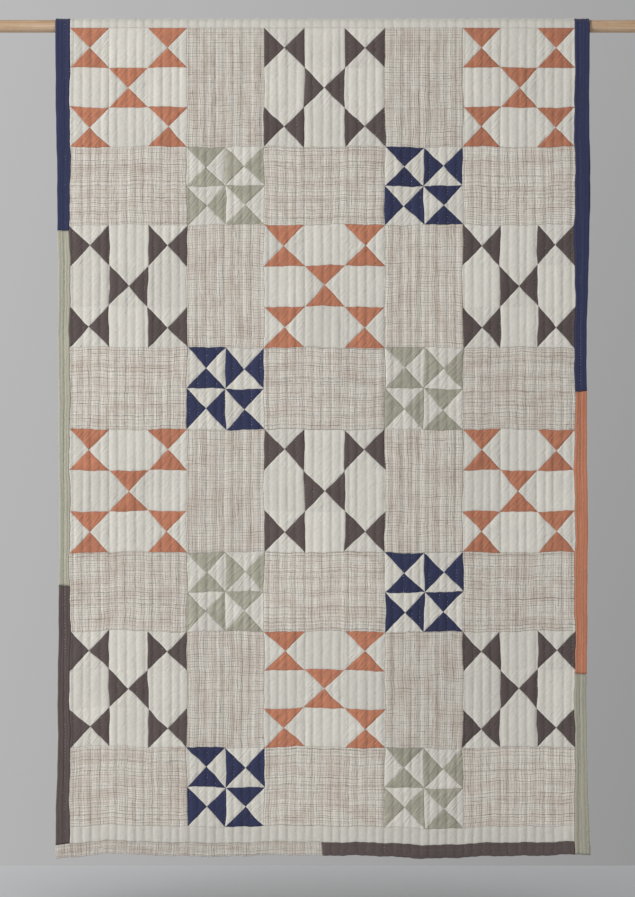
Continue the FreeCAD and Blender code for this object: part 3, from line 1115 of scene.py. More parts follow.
@dataclass
class Layout:
    """The quilt's plan, read from the frame: columns, rows, folds and what hangs from what.

    The partings are the places down where one length of cloth is built as two
    pieces, behind the pole and between the folds.
    """

    nodes: Sequence[str]
    joints: Sequence[dict[str, Any]]
    cell_across: float = 2.85
    cell_down: float = 5.7
    reaches: tuple[float, ...] = (40.0, 60.0, 60.0)
    behind_pole: float = -70.0
    low_parting: float = 1180.0
    columns: tuple[float, ...] = field(init=False)
    rows: tuple[float, ...] = field(init=False)
    folds: tuple[Fold, ...] = field(init=False)
    partings: tuple[float, float, float] = field(init=False)
    first_row: float = field(init=False)
    border_low: float = field(init=False)
    hem: float = field(init=False)
    half_width: float = field(init=False)
    binding: float = field(init=False)
    end_binding: float = field(init=False)
    fold_depth: float = field(init=False)

    def __post_init__(self) -> None:
        """Read the plan and the folding lines from the frame."""
        sides = [self.extent(f"block_r{2 - column % 2}_c{column}_") for column in range(1, 6)]
        self.columns = tuple(right - left for left, right, _, _ in sides)
        spans = [self.extent(f"block_r{row}_") for row in range(1, 9)]
        self.first_row = spans[0][2]
        self.border_low = self.extent("border_bottom")[3]
        seams = [(above[3] + below[2]) / 2 for above, below in zip(spans, spans[1:])]
        edges = [self.first_row, *seams, spans[-1][3]]
        self.rows = tuple(low - top for top, low in zip(edges, edges[1:]))
        left, right, _, self.hem = self.extent("binding_")
        self.half_width = (right - left) / 2
        self.binding = self.half_width - sum(self.columns) / 2
        self.end_binding = self.hem - self.border_low
        hinges = [joint for joint in self.joints if joint["type"] == "hinge"]
        self.fold_depth = round(hinges[0]["pos_m"][1] / MM, 3)
        self.folds = tuple(
            Fold(joint["parent"], joint["child"], -joint["pos_m"][2] / MM, self.fold_depth, reach)
            for joint, reach in zip(hinges, self.reaches)
        )
        self.partings = (self.behind_pole, self.row_top(2), self.low_parting)

    def extent(self, start: str) -> tuple[float, float, float, float]:
        """Measure the plain nodes whose names have the same start.

        Args:
            start: The start of their names.

        Returns:
            Left and right side, top and bottom in mm, with top and bottom counted down.
        """
        boxes = [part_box(node) for node in self.nodes if node.startswith(start)]
        sides = (
            min(low[0] for low, _ in boxes),
            max(high[0] for _, high in boxes),
            min(-high[2] for _, high in boxes),
            max(-low[2] for low, _ in boxes),
        )
        left, right, top, bottom = (round(side / MM, 3) for side in sides)
        return left, right, top, bottom

    def row_top(self, row: int) -> float:
        """Place down of the top of a row."""
        return self.first_row + sum(self.rows[:row])

    def column_left(self, column: int) -> float:
        """Place across of the left side of a column."""
        return -sum(self.columns) / 2 + sum(self.columns[:column])

    def attach(self, piece: bpy.types.Object, q0: float, q1: float) -> None:
        """Hang a piece on the panel that carries it; a piece that meets a fold is only baked in place and
        hung on no panel.
        """
        for fold in self.folds:
            if fold.touches(q0, q1):
                fold.bend(piece)
                return
        names = ["quilt_top", "quilt_upper", "quilt_middle", "quilt_lower"]
        below = sum(q0 >= fold.drop for fold in self.folds)
        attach(piece, names[below])


@dataclass
class Patchwork:
    """The pieced face: blocks of hourglass units, plaid panels and white borders."""

    layout: Layout
    drape: Drape
    shelf: ClothShelf
    seam_depth: float = 0.75
    seam_reach: float = 1.4
    pieces: list[tuple[bpy.types.Object, float]] = field(default_factory=list)

    def cut_rim(
        self,
        piece: ClothPiece,
        faces: list[bmesh.types.BMFace],
        sides: tuple[float, float],
        ends: tuple[float, float],
    ) -> list[bmesh.types.BMFace]:
        """Cut a line just inside each side of some cloth, where its seam draws it in.

        Args:
            piece: The piece being cut.
            faces: The faces to cut.
            sides: Left and right side in mm.
            ends: Top and bottom in mm down.

        Returns:
            The faces after the cuts.
        """
        reach = self.seam_reach
        for x in (sides[0] + reach, sides[1] - reach):
            faces = piece.cut(faces, (x, -ends[0]), (1, 0))
        for q in (ends[0] + reach, ends[1] - reach):
            faces = piece.cut(faces, (sides[0], -q), (0, 1))
        return faces

    def unit(
        self, piece: ClothPiece, x0: float, x1: float, q0: float, q1: float, hourglass: bool
    ) -> list[bmesh.types.BMFace]:
        """Lay one unit of a block and cut it along its seams.

        Args:
            piece: The block being pieced.
            x0: Left side in mm.
            x1: Right side in mm.
            q0: Top in mm down.
            q1: Bottom in mm down.
            hourglass: True for a unit of four triangles.

        Returns:
            The unit's faces.
        """
        width, height = x1 - x0, q1 - q0
        columns = round(width / self.layout.cell_across)
        rows = round(height / self.layout.cell_down)
        faces = self.cut_rim(piece, piece.grid(x0, x1, q0, q1, columns, rows), (x0, x1), (q0, q1))
        reach = self.seam_reach
        if hourglass:
            centre = Vector(((x0 + x1) / 2, -(q0 + q1) / 2))
            for slope in (1, -1):
                normal = Vector((height, slope * width)).normalized()
                for aside in (-reach, 0.0, reach):
                    point = centre + normal * aside
                    faces = piece.cut(faces, point, normal)
        return faces

    def seam_distance(
        self,
        x: Array,
        q: Array,
        x0: float,
        q0: float,
        width: float,
        height: float,
        kinds: Array,
        across: int,
    ) -> tuple[Array, Array]:
        """Measure how far flat places are from the nearest seam of a block.

        Args:
            x: Places across.
            q: Places down.
            x0: The block's left side.
            q0: The block's top.
            width: Width of one unit.
            height: Height of one unit.
            kinds: For each unit, 1 if it is an hourglass.
            across: Units across.

        Returns:
            Distance in mm, and a wrinkle phase that runs along the bias of the triangles.
        """
        rows = len(kinds) // across
        fx, fq = (x - x0) / width, (q - q0) / height
        column = np.clip(np.floor(fx), 0, across - 1).astype(int)
        row = np.clip(np.floor(fq), 0, rows - 1).astype(int)
        fx, fq = fx - column, fq - row
        border = np.minimum.reduce([fx * width, (1 - fx) * width, fq * height, (1 - fq) * height])
        slant = width * height / math.hypot(width, height)
        down, up = (fx - fq) * slant, (fx + fq - 1) * slant
        hourglass = np.asarray(kinds)[row * across + column] > 0
        diagonal = np.where(hourglass, np.minimum(np.abs(down), np.abs(up)), 1e3)
        bias = np.where(hourglass, np.where((row + column) % 2 == 0, up, down), 0.0)
        return np.minimum(np.abs(border), diagonal), bias

    def finish(
        self,
        piece: ClothPiece,
        q0: float,
        q1: float,
        seam: Any,
        nodes: Sequence[str],
        turned: bool = False,
    ) -> bpy.types.Object:
        """Turn a flat piece into cloth on the quilt.

        Args:
            piece: The flat piece.
            q0: Its top in mm down.
            q1: Its bottom in mm down.
            seam: Function from flat places to seam distance and bias phase.
            nodes: The plain nodes it stands for.
            turned: True where the weave lies on its side.

        Returns:
            The finished piece.
        """
        mesh = piece.mesh()
        flat = points_of(mesh)
        x, q = flat[:, 0], -flat[:, 1]
        distance, bias = seam(x, q)
        shifted_x, shifted_q = self.drape.wander(x, q)
        near = np.exp(-((distance / 1.1) ** 2))
        if "joined" in mesh.attributes:
            joined = np.empty(len(flat), np.float32)
            mesh.attributes["joined"].data.foreach_get("value", joined)
            near = near * joined
        else:
            near = near * 0.45
        # These two numbers darken the colour in the seams and quilting lines: painted shade.
        set_point_numbers(mesh, "seam", near)
        set_point_numbers(mesh, "crease", self.drape.crease(shifted_x, shifted_q))
        lay_pattern(mesh, turned)
        lift = self.drape.face_lift(shifted_x, shifted_q)
        pinch = smooth(distance, 0.0, 9.0)
        wrinkle = 0.25 * np.sin(bias * 2 * math.pi / 9.5 + 1.2 * np.sin(q / 21.0)) * pinch * (bias != 0.0)
        lift = lift * (0.82 + 0.18 * pinch) - self.seam_depth * near + wrinkle
        set_points(mesh, self.drape.hang(np.column_stack([shifted_x, -shifted_q, lift]), shifted=True))
        made = place_piece("quilted_" + piece.name, mesh, 1.0 * MM)
        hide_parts(*nodes)
        self.layout.attach(made, q0, q1)
        self.pieces.append((made, (q0 + q1) / 2))
        LOG.info("%s: %d faces", piece.name, len(mesh.polygons))
        return made

    def block(self, row: int, column: int, cloth: Cloth, size: int) -> None:
        """Piece one block of hourglass units and squares.

        Args:
            row: Row of the quilt, from nought.
            column: Column of the quilt, from nought.
            cloth: The coloured cloth.
            size: Units each way.
        """
        layout = self.layout
        x0, q0 = layout.column_left(column), layout.row_top(row)
        width, height = layout.columns[column] / size, layout.rows[row] / size
        name = f"block_r{row + 1}_c{column + 1}_{cloth.name.lower()}"
        piece = ClothPiece(name, materials=[self.shelf.take(Cloth.WHITE), self.shelf.take(cloth)])
        rng = np.random.default_rng(100 + row * 10 + column)
        patch = piece.bm.faces.layers.float.new("patch")
        tone = piece.bm.faces.layers.float.new("tone")
        pucker = piece.bm.faces.layers.float.new("pucker")
        kinds = []
        number = 0
        for r in range(size):
            for c in range(size):
                hourglass = size == 2 or (r + c) % 2 == 0
                kinds.append(int(hourglass))
                left, top = x0 + c * width, q0 + r * height
                turn = UnitTurn.SIDEWAYS if cloth is Cloth.CHARCOAL or (
                    size == 2 and (r + c) % 2
                ) else UnitTurn.UPRIGHT
                tones = rng.uniform(0.94, 1.03, 4)
                for face in self.unit(piece, left, left + width, top, top + height, hourglass):
                    middle = face.calc_center_median()
                    u, v = (middle.x - left) / width - 0.5, (-middle.y - top) / height - 0.5
                    quarter = (0 if v < 0 else 2) if abs(v) > abs(u) else (1 if u > 0 else 3)
                    quarter = quarter if hourglass else 0
                    coloured = hourglass and (quarter % 2 == 0) == (turn is UnitTurn.UPRIGHT)
                    face.material_index = 1 if coloured else 0
                    face[patch] = number + quarter
                    # Coloured patches in the right-hand columns are darkened step by step: painted shade, as
                    # the light falls off to the right.
                    face[tone] = tones[quarter] * (1.0 - 0.05 * max(column - 2, 0) if coloured else 1.0)
                    face[pucker] = 1.0 if size == 2 else (0.75 if hourglass else 0.35)
                number += 4
        bmesh.ops.remove_doubles(piece.bm, verts=piece.bm.verts, dist=0.01)
        joined = piece.bm.verts.layers.float.new("joined")
        for vert in piece.bm.verts:
            cloths = {face.material_index for face in vert.link_faces}
            rim = any(edge.is_boundary for edge in vert.link_edges)
            vert[joined] = 1.0 if len(cloths) > 1 else (0.5 if rim else 0.1)
        nodes = [name, name + "_head"] if row == 0 else [name]
        self.finish(
            piece, q0, q0 + layout.rows[row], lambda x, q: self.seam_distance(
                x, q, x0, q0, width, height, kinds, size
            ), nodes
        )

    def panel(
        self,
        name: str,
        spans: Sequence[tuple[float, float]],
        q0: float,
        q1: float,
        cloth: Cloth,
        nodes: Sequence[str],
        columns: Sequence[int],
        rows: int,
        turned: bool = False,
        shade: float = 1.0,
    ) -> None:
        """Lay plain panels of one cloth that share a row.

        Args:
            name: The piece's name.
            spans: Left and right side of each panel.
            q0: Top in mm down.
            q1: Bottom in mm down.
            cloth: The cloth.
            nodes: The plain nodes the piece stands for.
            columns: Cells across each panel.
            rows: Cells down.
            turned: True where the weave lies on its side.
            shade: How much lighter or darker the cloth is drawn than its colour; on the lower border this is
                painted shade.
        """
        piece = ClothPiece(name, materials=[self.shelf.take(cloth)])
        tone = piece.bm.faces.layers.float.new("tone")
        rng = np.random.default_rng(400 + round(q1))
        patch = piece.bm.faces.layers.float.new("patch")
        for number, ((x0, x1), count) in enumerate(zip(spans, columns)):
            faces = self.cut_rim(piece, piece.grid(x0, x1, q0, q1, count, rows), (x0, x1), (q0, q1))
            value = shade * rng.uniform(0.96, 1.02)
            for face in faces:
                face[patch] = number + round(q0 / 50.0)
                face[tone] = value

        def seam(x: Array, q: Array) -> tuple[Array, Array]:
            """Measure flat places from the panels' sides."""
            sides = [np.abs(x - side) for span in spans for side in span]
            ends = [np.abs(q - q0), np.abs(q - q1)]
            return np.minimum.reduce(sides + ends), np.zeros_like(x)

        self.finish(piece, q0, q1, seam, nodes, turned)

    def build(self) -> None:
        """Piece the whole face."""
        layout = self.layout
        tall = ((Cloth.CORAL, Cloth.CHARCOAL), (Cloth.CHARCOAL, Cloth.CORAL))
        short = ((Cloth.SAGE, Cloth.NAVY), (Cloth.NAVY, Cloth.SAGE))
        for row in range(len(layout.rows)):
            q0, q1 = layout.row_top(row), layout.row_top(row + 1)
            swapped = row // 2 % 2
            if row % 2 == 0:
                outer, inner = tall[swapped]
                for column, cloth in zip((0, 2, 4), (outer, inner, outer)):
                    self.block(row, column, cloth, 3)
                plain, units = (1, 3), 3
            else:
                for column, cloth in zip((1, 3), short[swapped]):
                    self.block(row, column, cloth, 2)
                plain, units = (0, 2, 4), 2
            spans = [(layout.column_left(c), layout.column_left(c) + layout.columns[c]) for c in plain]
            other = 2 if units == 3 else 3
            counts = [other * round((right - left) / other / layout.cell_across) for left, right in spans]
            cells = units * round((q1 - q0) / units / layout.cell_down)
            name = f"plaid_row_{row + 1}"
            nodes = [name, name + "_head"] if row == 0 else [name]
            self.panel(name, spans, q0, q1, Cloth.PLAID, nodes, counts, cells, turned=units == 2)
        half = sum(layout.columns) / 2
        count = round(2 * half / layout.cell_across)
        low = layout.row_top(len(layout.rows))
        pocket = self.drape.pocket_end + layout.end_binding
        self.panel(
            "border_top",
            [(-half, half)],
            pocket,
            layout.first_row,
            Cloth.WHITE,
            ["border_top"],
            [count],
            58,
            shade=0.97,
        )
        self.panel(
            "border_bottom",
            [(-half, half)],
            low,
            layout.border_low,
            Cloth.WHITE,
            ["border_bottom"],
            [count],
            9,
            # Painted shade: the lower border is drawn darker, as less light reaches low on the quilt.
            shade=0.9,
        )


@dataclass
class Binding:
    """The folded strips that close the quilt's edge, butted where their colours change."""

    layout: Layout
    drape: Drape
    shelf: ClothShelf
    stand: float = 0.55
    turn_in: float = 12.0
    pleats: tuple[float, ...] = (9.0, 19.0, 28.0)
    # Painted light and shade per strip: the left sage lighter; the right sage, the plaid hem and the left
    # charcoal darker, as light falls across the quilt.
    strip_painted_light: dict[str, float] = field(
        default_factory=lambda: {
            "binding_left_sage": 1.07,
            "binding_right_sage": 0.95,
            "binding_hem_plaid": 0.88,
            "binding_left_charcoal": 0.94,
        }
    )
    pieces: list[tuple[bpy.types.Object, float]] = field(default_factory=list)

    def roll(self, strip: Array, width: float) -> tuple[Array, Array, Array]:
        """Fold the places across a strip round the quilt's edge.

        Args:
            strip: Places across the strip, from its inner edge on the face.
            width: Width of the strip on the face.

        Returns:
            Distance inside the edge, share of the face's height, and height of the rolled part.
        """
        radius = self.drape.edge_radius
        face = width - radius
        angle = np.clip((strip - face) / radius, 0.0, math.pi)
        past = np.maximum(strip - face - math.pi * radius, 0.0)
        inside = np.where(strip < face, width - strip, radius - radius * np.sin(angle) + past)
        return inside, 1.0 - smooth(strip, face - 9.0, face), radius * np.cos(angle)

    def strip(
        self, name: str, edge: Edge, start: float, stop: float, cloth: Cloth, nodes: Sequence[str]
    ) -> None:
        """Sew on one length of binding.

        Args:
            name: The piece's name.
            edge: The side it closes.
            start: Where it starts along the edge, in mm down or across.
            stop: Where it stops.
            cloth: Its cloth.
            nodes: The plain nodes it stands for.
        """
        drape, layout = self.drape, self.layout
        side = edge in (Edge.LEFT, Edge.RIGHT)
        width = layout.binding if side else layout.end_binding
        total = width - drape.edge_radius + math.pi * drape.edge_radius + self.turn_in
        piece = ClothPiece(name, materials=[self.shelf.take(cloth)])
        along = max(2, round((stop - start) / (2.8 if start < 0 or not side else 5.7)))
        piece.grid(0.0, total, start, stop, round(total / 1.9), along)
        parted = [q for q in layout.partings if side and q in (start, stop)]
        piece.run_on(parted)
        mesh = piece.mesh()
        set_face_numbers(mesh, "tone", np.full(len(mesh.polygons), self.strip_painted_light.get(name, 1.0)))
        flat = points_of(mesh)
        strip, run = flat[:, 0], -flat[:, 1]
        inside, share, rolled = self.roll(strip, width)
        butts = [np.abs(run - end) for end in (start, stop) if end not in parted]
        near = np.exp(-((np.minimum.reduce([strip, *butts]) / 1.3) ** 2))
        # The seam number darkens the colour at the strip's inner edge and butts: painted shade.
        set_point_numbers(mesh, "seam", near)
        lay_pattern(mesh)
        if side:
            x, q = edge.value * (drape.half_width - inside), run
        elif edge is Edge.HEM:
            x, q = run, drape.hem - inside
        else:
            x, q = run, drape.pocket_end + inside
        x, q = drape.wander(x, q)
        pleats = sum(
            np.exp(-(((strip - at - 1.5 * np.sin(run / 170.0 + at)) / 1.6) ** 2)) for at in self.pleats
        )
        # The pleats also darken the colour: painted shade in their creases.
        set_point_numbers(mesh, "crease", 0.6 * pleats)
        puff = 0.7 * drape.face_lift(x, q) + self.stand * smooth(strip, -1.0, 2.5) - 0.7 * pleats
        lift = np.where(
            rolled >= drape.edge_radius - 1e-6, puff * share + drape.edge_radius * (1 - share), rolled
        )
        lift = lift - 0.5 * near * (strip < width * 0.9)
        lift = lift * self.closed_ends(x, q)
        hung = drape.hang(np.column_stack([x, -q, lift]), shifted=True)
        set_points(mesh, hung)
        if edge in (Edge.LEFT, Edge.HEM):
            mesh.flip_normals()
        made = place_piece("sewn_" + name, mesh, 0.7 * MM)
        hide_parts(*nodes)
        q0, q1 = (start, stop) if side else (
            (layout.border_low, drape.hem) if edge is Edge.HEM else (drape.pocket_end, 0.0)
        )
        if side:
            layout.attach(made, q0, q1)
        else:
            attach(made, "quilt_lower" if edge is Edge.HEM else "quilt_top")
        self.pieces.append((made, (q0 + q1) / 2))

    def closed_ends(self, x: Array, q: Array) -> Array:
        """Bring the face and the back together at the hem and at the pocket's free edge."""
        drape = self.drape
        radius = drape.edge_radius
        over = np.maximum.reduce([q - drape.hem, drape.pocket_end - q, np.abs(x) - drape.half_width]) + radius
        return np.sqrt(np.clip(1.0 - np.clip(over / radius, 0.0, 0.98) ** 2, 0.0, 1.0))

    def build(self) -> None:
        """Bind the quilt."""
        layout, drape = self.layout, self.drape
        top, low = drape.pocket_end, layout.border_low
        behind, split, _ = layout.partings
        left_1, left_2 = layout.extent("binding_left_sage")[2:]
        right_1, right_2 = layout.extent("binding_right_coral")[2:]
        half = sum(layout.columns) / 2
        lengths: tuple[tuple[str, Edge, float, float, Cloth, tuple[str, ...]], ...] = (
            ("left_navy_pocket", Edge.LEFT, top, behind, Cloth.NAVY, ("left_navy_top",)),
            ("left_navy", Edge.LEFT, behind, left_1, Cloth.NAVY, ("left_navy_upper",)),
            ("left_sage", Edge.LEFT, left_1, left_2, Cloth.SAGE, ("left_sage_upper", "left_sage_middle")),
            (
                "left_charcoal",
                Edge.LEFT,
                left_2,
                low,
                Cloth.CHARCOAL,
                ("left_charcoal_middle", "left_charcoal_lower"),
            ),
            ("right_navy_pocket", Edge.RIGHT, top, behind, Cloth.NAVY, ("right_navy_top",)),
            ("right_navy", Edge.RIGHT, behind, split, Cloth.NAVY, ("right_navy_upper",)),
            ("right_navy_lower", Edge.RIGHT, split, right_1, Cloth.NAVY, ("right_navy_middle",)),
            (
                "right_coral",
                Edge.RIGHT,
                right_1,
                right_2,
                Cloth.CORAL,
                ("right_coral_middle", "right_coral_lower"),
            ),
            ("right_sage", Edge.RIGHT, right_2, drape.hem, Cloth.SAGE, ("right_sage_lower",)),
            ("hem_plaid", Edge.HEM, -drape.half_width, 0.0, Cloth.PLAID, ("hem_plaid",)),
            ("hem_charcoal", Edge.HEM, 0.0, half, Cloth.CHARCOAL, ("hem_charcoal",)),
            ("pocket_edge", Edge.POCKET, -half, half, Cloth.PLAID, ("pocket_edge",)),
        )
        for name, edge, start, stop, cloth, nodes in lengths:
            self.strip("binding_" + name, edge, start, stop, cloth, ["binding_" + node for node in nodes])
            LOG.info("binding %s", name)


@dataclass
class Backing:
    """The plain cotton behind the quilt, with the batting between it and the face."""

    layout: Layout
    drape: Drape
    shelf: ClothShelf
    inset: float = 4.0
    cell_across: float = 3.77
    cell_over_pole: float = 3.0
    cell_down: float = 10.0
    pieces: list[bpy.types.Object] = field(default_factory=list)

    def length(self, name: str, q0: float, q1: float, nodes: Sequence[str]) -> None:
        """Lay one length of backing.

        Args:
            name: The piece's name.
            q0: Its top in mm down.
            q1: Its bottom in mm down.
            nodes: The plain nodes it stands for.
        """
        half = self.drape.half_width - self.inset
        piece = ClothPiece(name, materials=[self.shelf.take(Cloth.BACKING)])
        columns = round(2 * half / self.cell_across)
        over_pole, hanging = (q0, min(q1, 0.0), self.cell_over_pole), (max(q0, 0.0), q1, self.cell_down)
        for top, low, down in (over_pole, hanging):
            if top < low:
                piece.grid(-half, half, top, low, columns, round((low - top) / down))
        bmesh.ops.remove_doubles(piece.bm, verts=piece.bm.verts, dist=0.01)
        bmesh.ops.reverse_faces(piece.bm, faces=piece.bm.faces)
        piece.run_on(self.layout.partings)
        mesh = piece.mesh()
        set_face_numbers(mesh, "tone", np.ones(len(mesh.polygons)))
        set_point_numbers(mesh, "seam", np.zeros(len(mesh.vertices)))
        lay_pattern(mesh)
        flat = points_of(mesh)
        x, q = self.drape.wander(flat[:, 0], -flat[:, 1])
        # The crease number darkens the backing's colour along the quilting lines: painted shade.
        set_point_numbers(mesh, "crease", self.drape.crease(x, q))
        set_points(mesh, self.drape.hang(np.column_stack([x, -q, self.drape.back_lift(x, q)]), shifted=True))
        made = place_piece(name, mesh, 0.5 * MM)
        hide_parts(*nodes)
        self.layout.attach(made, q0, q1)
        self.pieces.append(made)
        LOG.info("%s: %d faces", name, len(mesh.polygons))

    def build(self) -> None:
        """Lay the backing in four lengths that meet at the partings."""
        places = (self.drape.pocket_end + self.inset, *self.layout.partings, self.drape.hem - self.inset)
        for name, q0, q1 in zip(("top", "upper", "middle", "lower"), places, places[1:]):
            self.length(f"backing_{name}_length", q0, q1, [f"backing_{name}", f"batting_{name}"])


@dataclass
class Stitching:
    """Running stitches down every quilting line, seen on the face and on the back."""

    layout: Layout
    drape: Drape
    pitch: float = 8.0
    length_mm: float = 2.8
    width_mm: float = 1.0
    inset: float = 8.0
    first_mm: float = 4.0
    tack_count: int = 100
    tack_pitch: float = 13.2
    tack_level: float = -104.2
    tack_depth: float = -15.4
    tack_slant: float = math.radians(35.0)
    pieces: list[tuple[bpy.types.Object, float]] = field(default_factory=list)

    def stitch(self) -> bpy.types.Mesh:
        """Shape one stitch: a short length of thread that dips in at both ends."""
        bm = bmesh.new()
        bmesh.ops.create_uvsphere(bm, u_segments=4, v_segments=2, radius=0.5)
        bmesh.ops.rotate(bm, cent=(0, 0, 0), matrix=Matrix.Rotation(math.pi / 2, 3, "X"), verts=bm.verts)
        bmesh.ops.scale(bm, vec=(self.width_mm, self.length_mm, self.width_mm), verts=bm.verts)
        for face in bm.faces:
            face.smooth = True
        mesh = bpy.data.meshes.new("stitch")
        bm.to_mesh(mesh)
        bm.free()
        return mesh

    def repeated(
        self, name: str, steps: Sequence[tuple[int, tuple[float, float, float]]]
    ) -> tuple[bpy.types.Mesh, int]:
        """Repeat one stitch at even steps.

        Args:
            name: The piece's name.
            steps: How many times, and how far apart in mm, for each direction.

        Returns:
            The mesh of all the stitches, and how many points one stitch has.
        """
        mesh = self.stitch()
        each = len(mesh.vertices)
        row = bpy.data.objects.new(name, mesh)
        bpy.context.scene.collection.objects.link(row)
        for count, spacing in steps:
            repeat = row.modifiers.new("repeat", "ARRAY")
            repeat.count = count
            repeat.use_relative_offset = False
            repeat.use_constant_offset = True
            repeat.constant_offset_displace = spacing
        graph = bpy.context.evaluated_depsgraph_get()
        sewn = bpy.data.meshes.new_from_object(row.evaluated_get(graph))
        bpy.data.objects.remove(row)
        return sewn, each

    def place_stitches(
        self, name: str, mesh: bpy.types.Mesh, material: bpy.types.Material
    ) -> bpy.types.Object:
        """Give finished stitches their thread and put them in the scene.

        Args:
            name: The piece's name.
            mesh: The stitches, in place.
            material: The thread's material.

        Returns:
            The piece.
        """
        mesh.materials.clear()
        mesh.materials.append(material)
        made = place_piece(name, mesh)
        return made

    def lines(self, name: str, q0: float, q1: float, material: bpy.types.Material, front: bool) -> None:
        """Sew every quilting line between two places down.

        Args:
            name: The piece's name.
            q0: Top in mm down.
            q1: Bottom in mm down.
            material: The thread's material.
            front: True for the face, False for the backing.
        """
        channel = self.drape.swatch.channel_mm
        reach = int((self.drape.half_width - self.inset) / channel)
        down, across = int((q1 - q0) / self.pitch), 2 * reach + 1
        sewn, each = self.repeated(name, ((down, (0, -self.pitch, 0)), (across, (channel, 0, 0))))
        flat = points_of(sewn)
        number = np.arange(len(flat)) // each
        line, step = number // down, number % down
        rng = np.random.default_rng(31 if front else 32)
        local_x = flat[:, 0] - line * channel
        local_q = -(flat[:, 1] + step * self.pitch)
        start = q0 + self.first_mm + (0.0 if front else self.pitch / 2)
        q = start + step * self.pitch + rng.uniform(-0.9, 0.9, down * across)[number]
        x = self.drape.quilting_line(line - reach, q) + rng.uniform(-0.2, 0.2, down * across)[number]
        height = self.drape.valley + 0.3 if front else -0.45 - 0.55
        placed = np.column_stack([x + local_x, -(q + local_q), height + flat[:, 2]])
        set_points(sewn, self.drape.hang(placed, shifted=True))
        made = self.place_stitches(name, sewn, material)
        self.layout.attach(made, q0, q1)
        self.pieces.append((made, (q0 + q1) / 2))
        LOG.info("%s: %d stitches", name, down * across)

    def tacking(self, material: bpy.types.Material) -> None:
        """Tack the pocket's free edge to the backing with slanting hand stitches.

        Args:
            material: The thread's material.
        """
        sewn, each = self.repeated("pocket_tacking", ((self.tack_count, (0, -self.tack_pitch, 0)),))
        flat = points_of(sewn)
        number = np.arange(len(flat)) // each
        local = np.column_stack([flat[:, 0], flat[:, 1] + number * self.tack_pitch, flat[:, 2]])
        centre = (number - (self.tack_count - 1) / 2) * self.tack_pitch
        slant = self.tack_slant
        x = centre + local[:, 1] * math.sin(slant) + local[:, 0] * math.cos(slant)
        along = (local[:, 1] * math.cos(slant) - local[:, 0] * math.sin(slant)) * 1.5
        level = self.tack_level + along
        y = self.tack_depth + local[:, 2] + np.clip(along, -1.0, 2.0) * 1.1
        set_points(sewn, np.column_stack([x, y - self.drape.billow(x, -level), level]) * MM)
        made = self.place_stitches("pocket_tacking", sewn, material)
        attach(made, "quilt_top")
        self.pieces.append((made, self.drape.pocket_end))

    def build(self) -> None:
        """Sew the face, the back and the pocket."""
        material = QuiltingThread().material()
        places = (self.drape.pocket_end + self.inset, *self.layout.partings, self.drape.hem - self.inset)
        for front, side in ((True, "face"), (False, "back")):
            for length, q0, q1 in zip(("top", "upper", "middle", "lower"), places, places[1:]):
                self.lines(f"stitches_{side}_{length}", q0, q1, material, front)
        self.tacking(material)


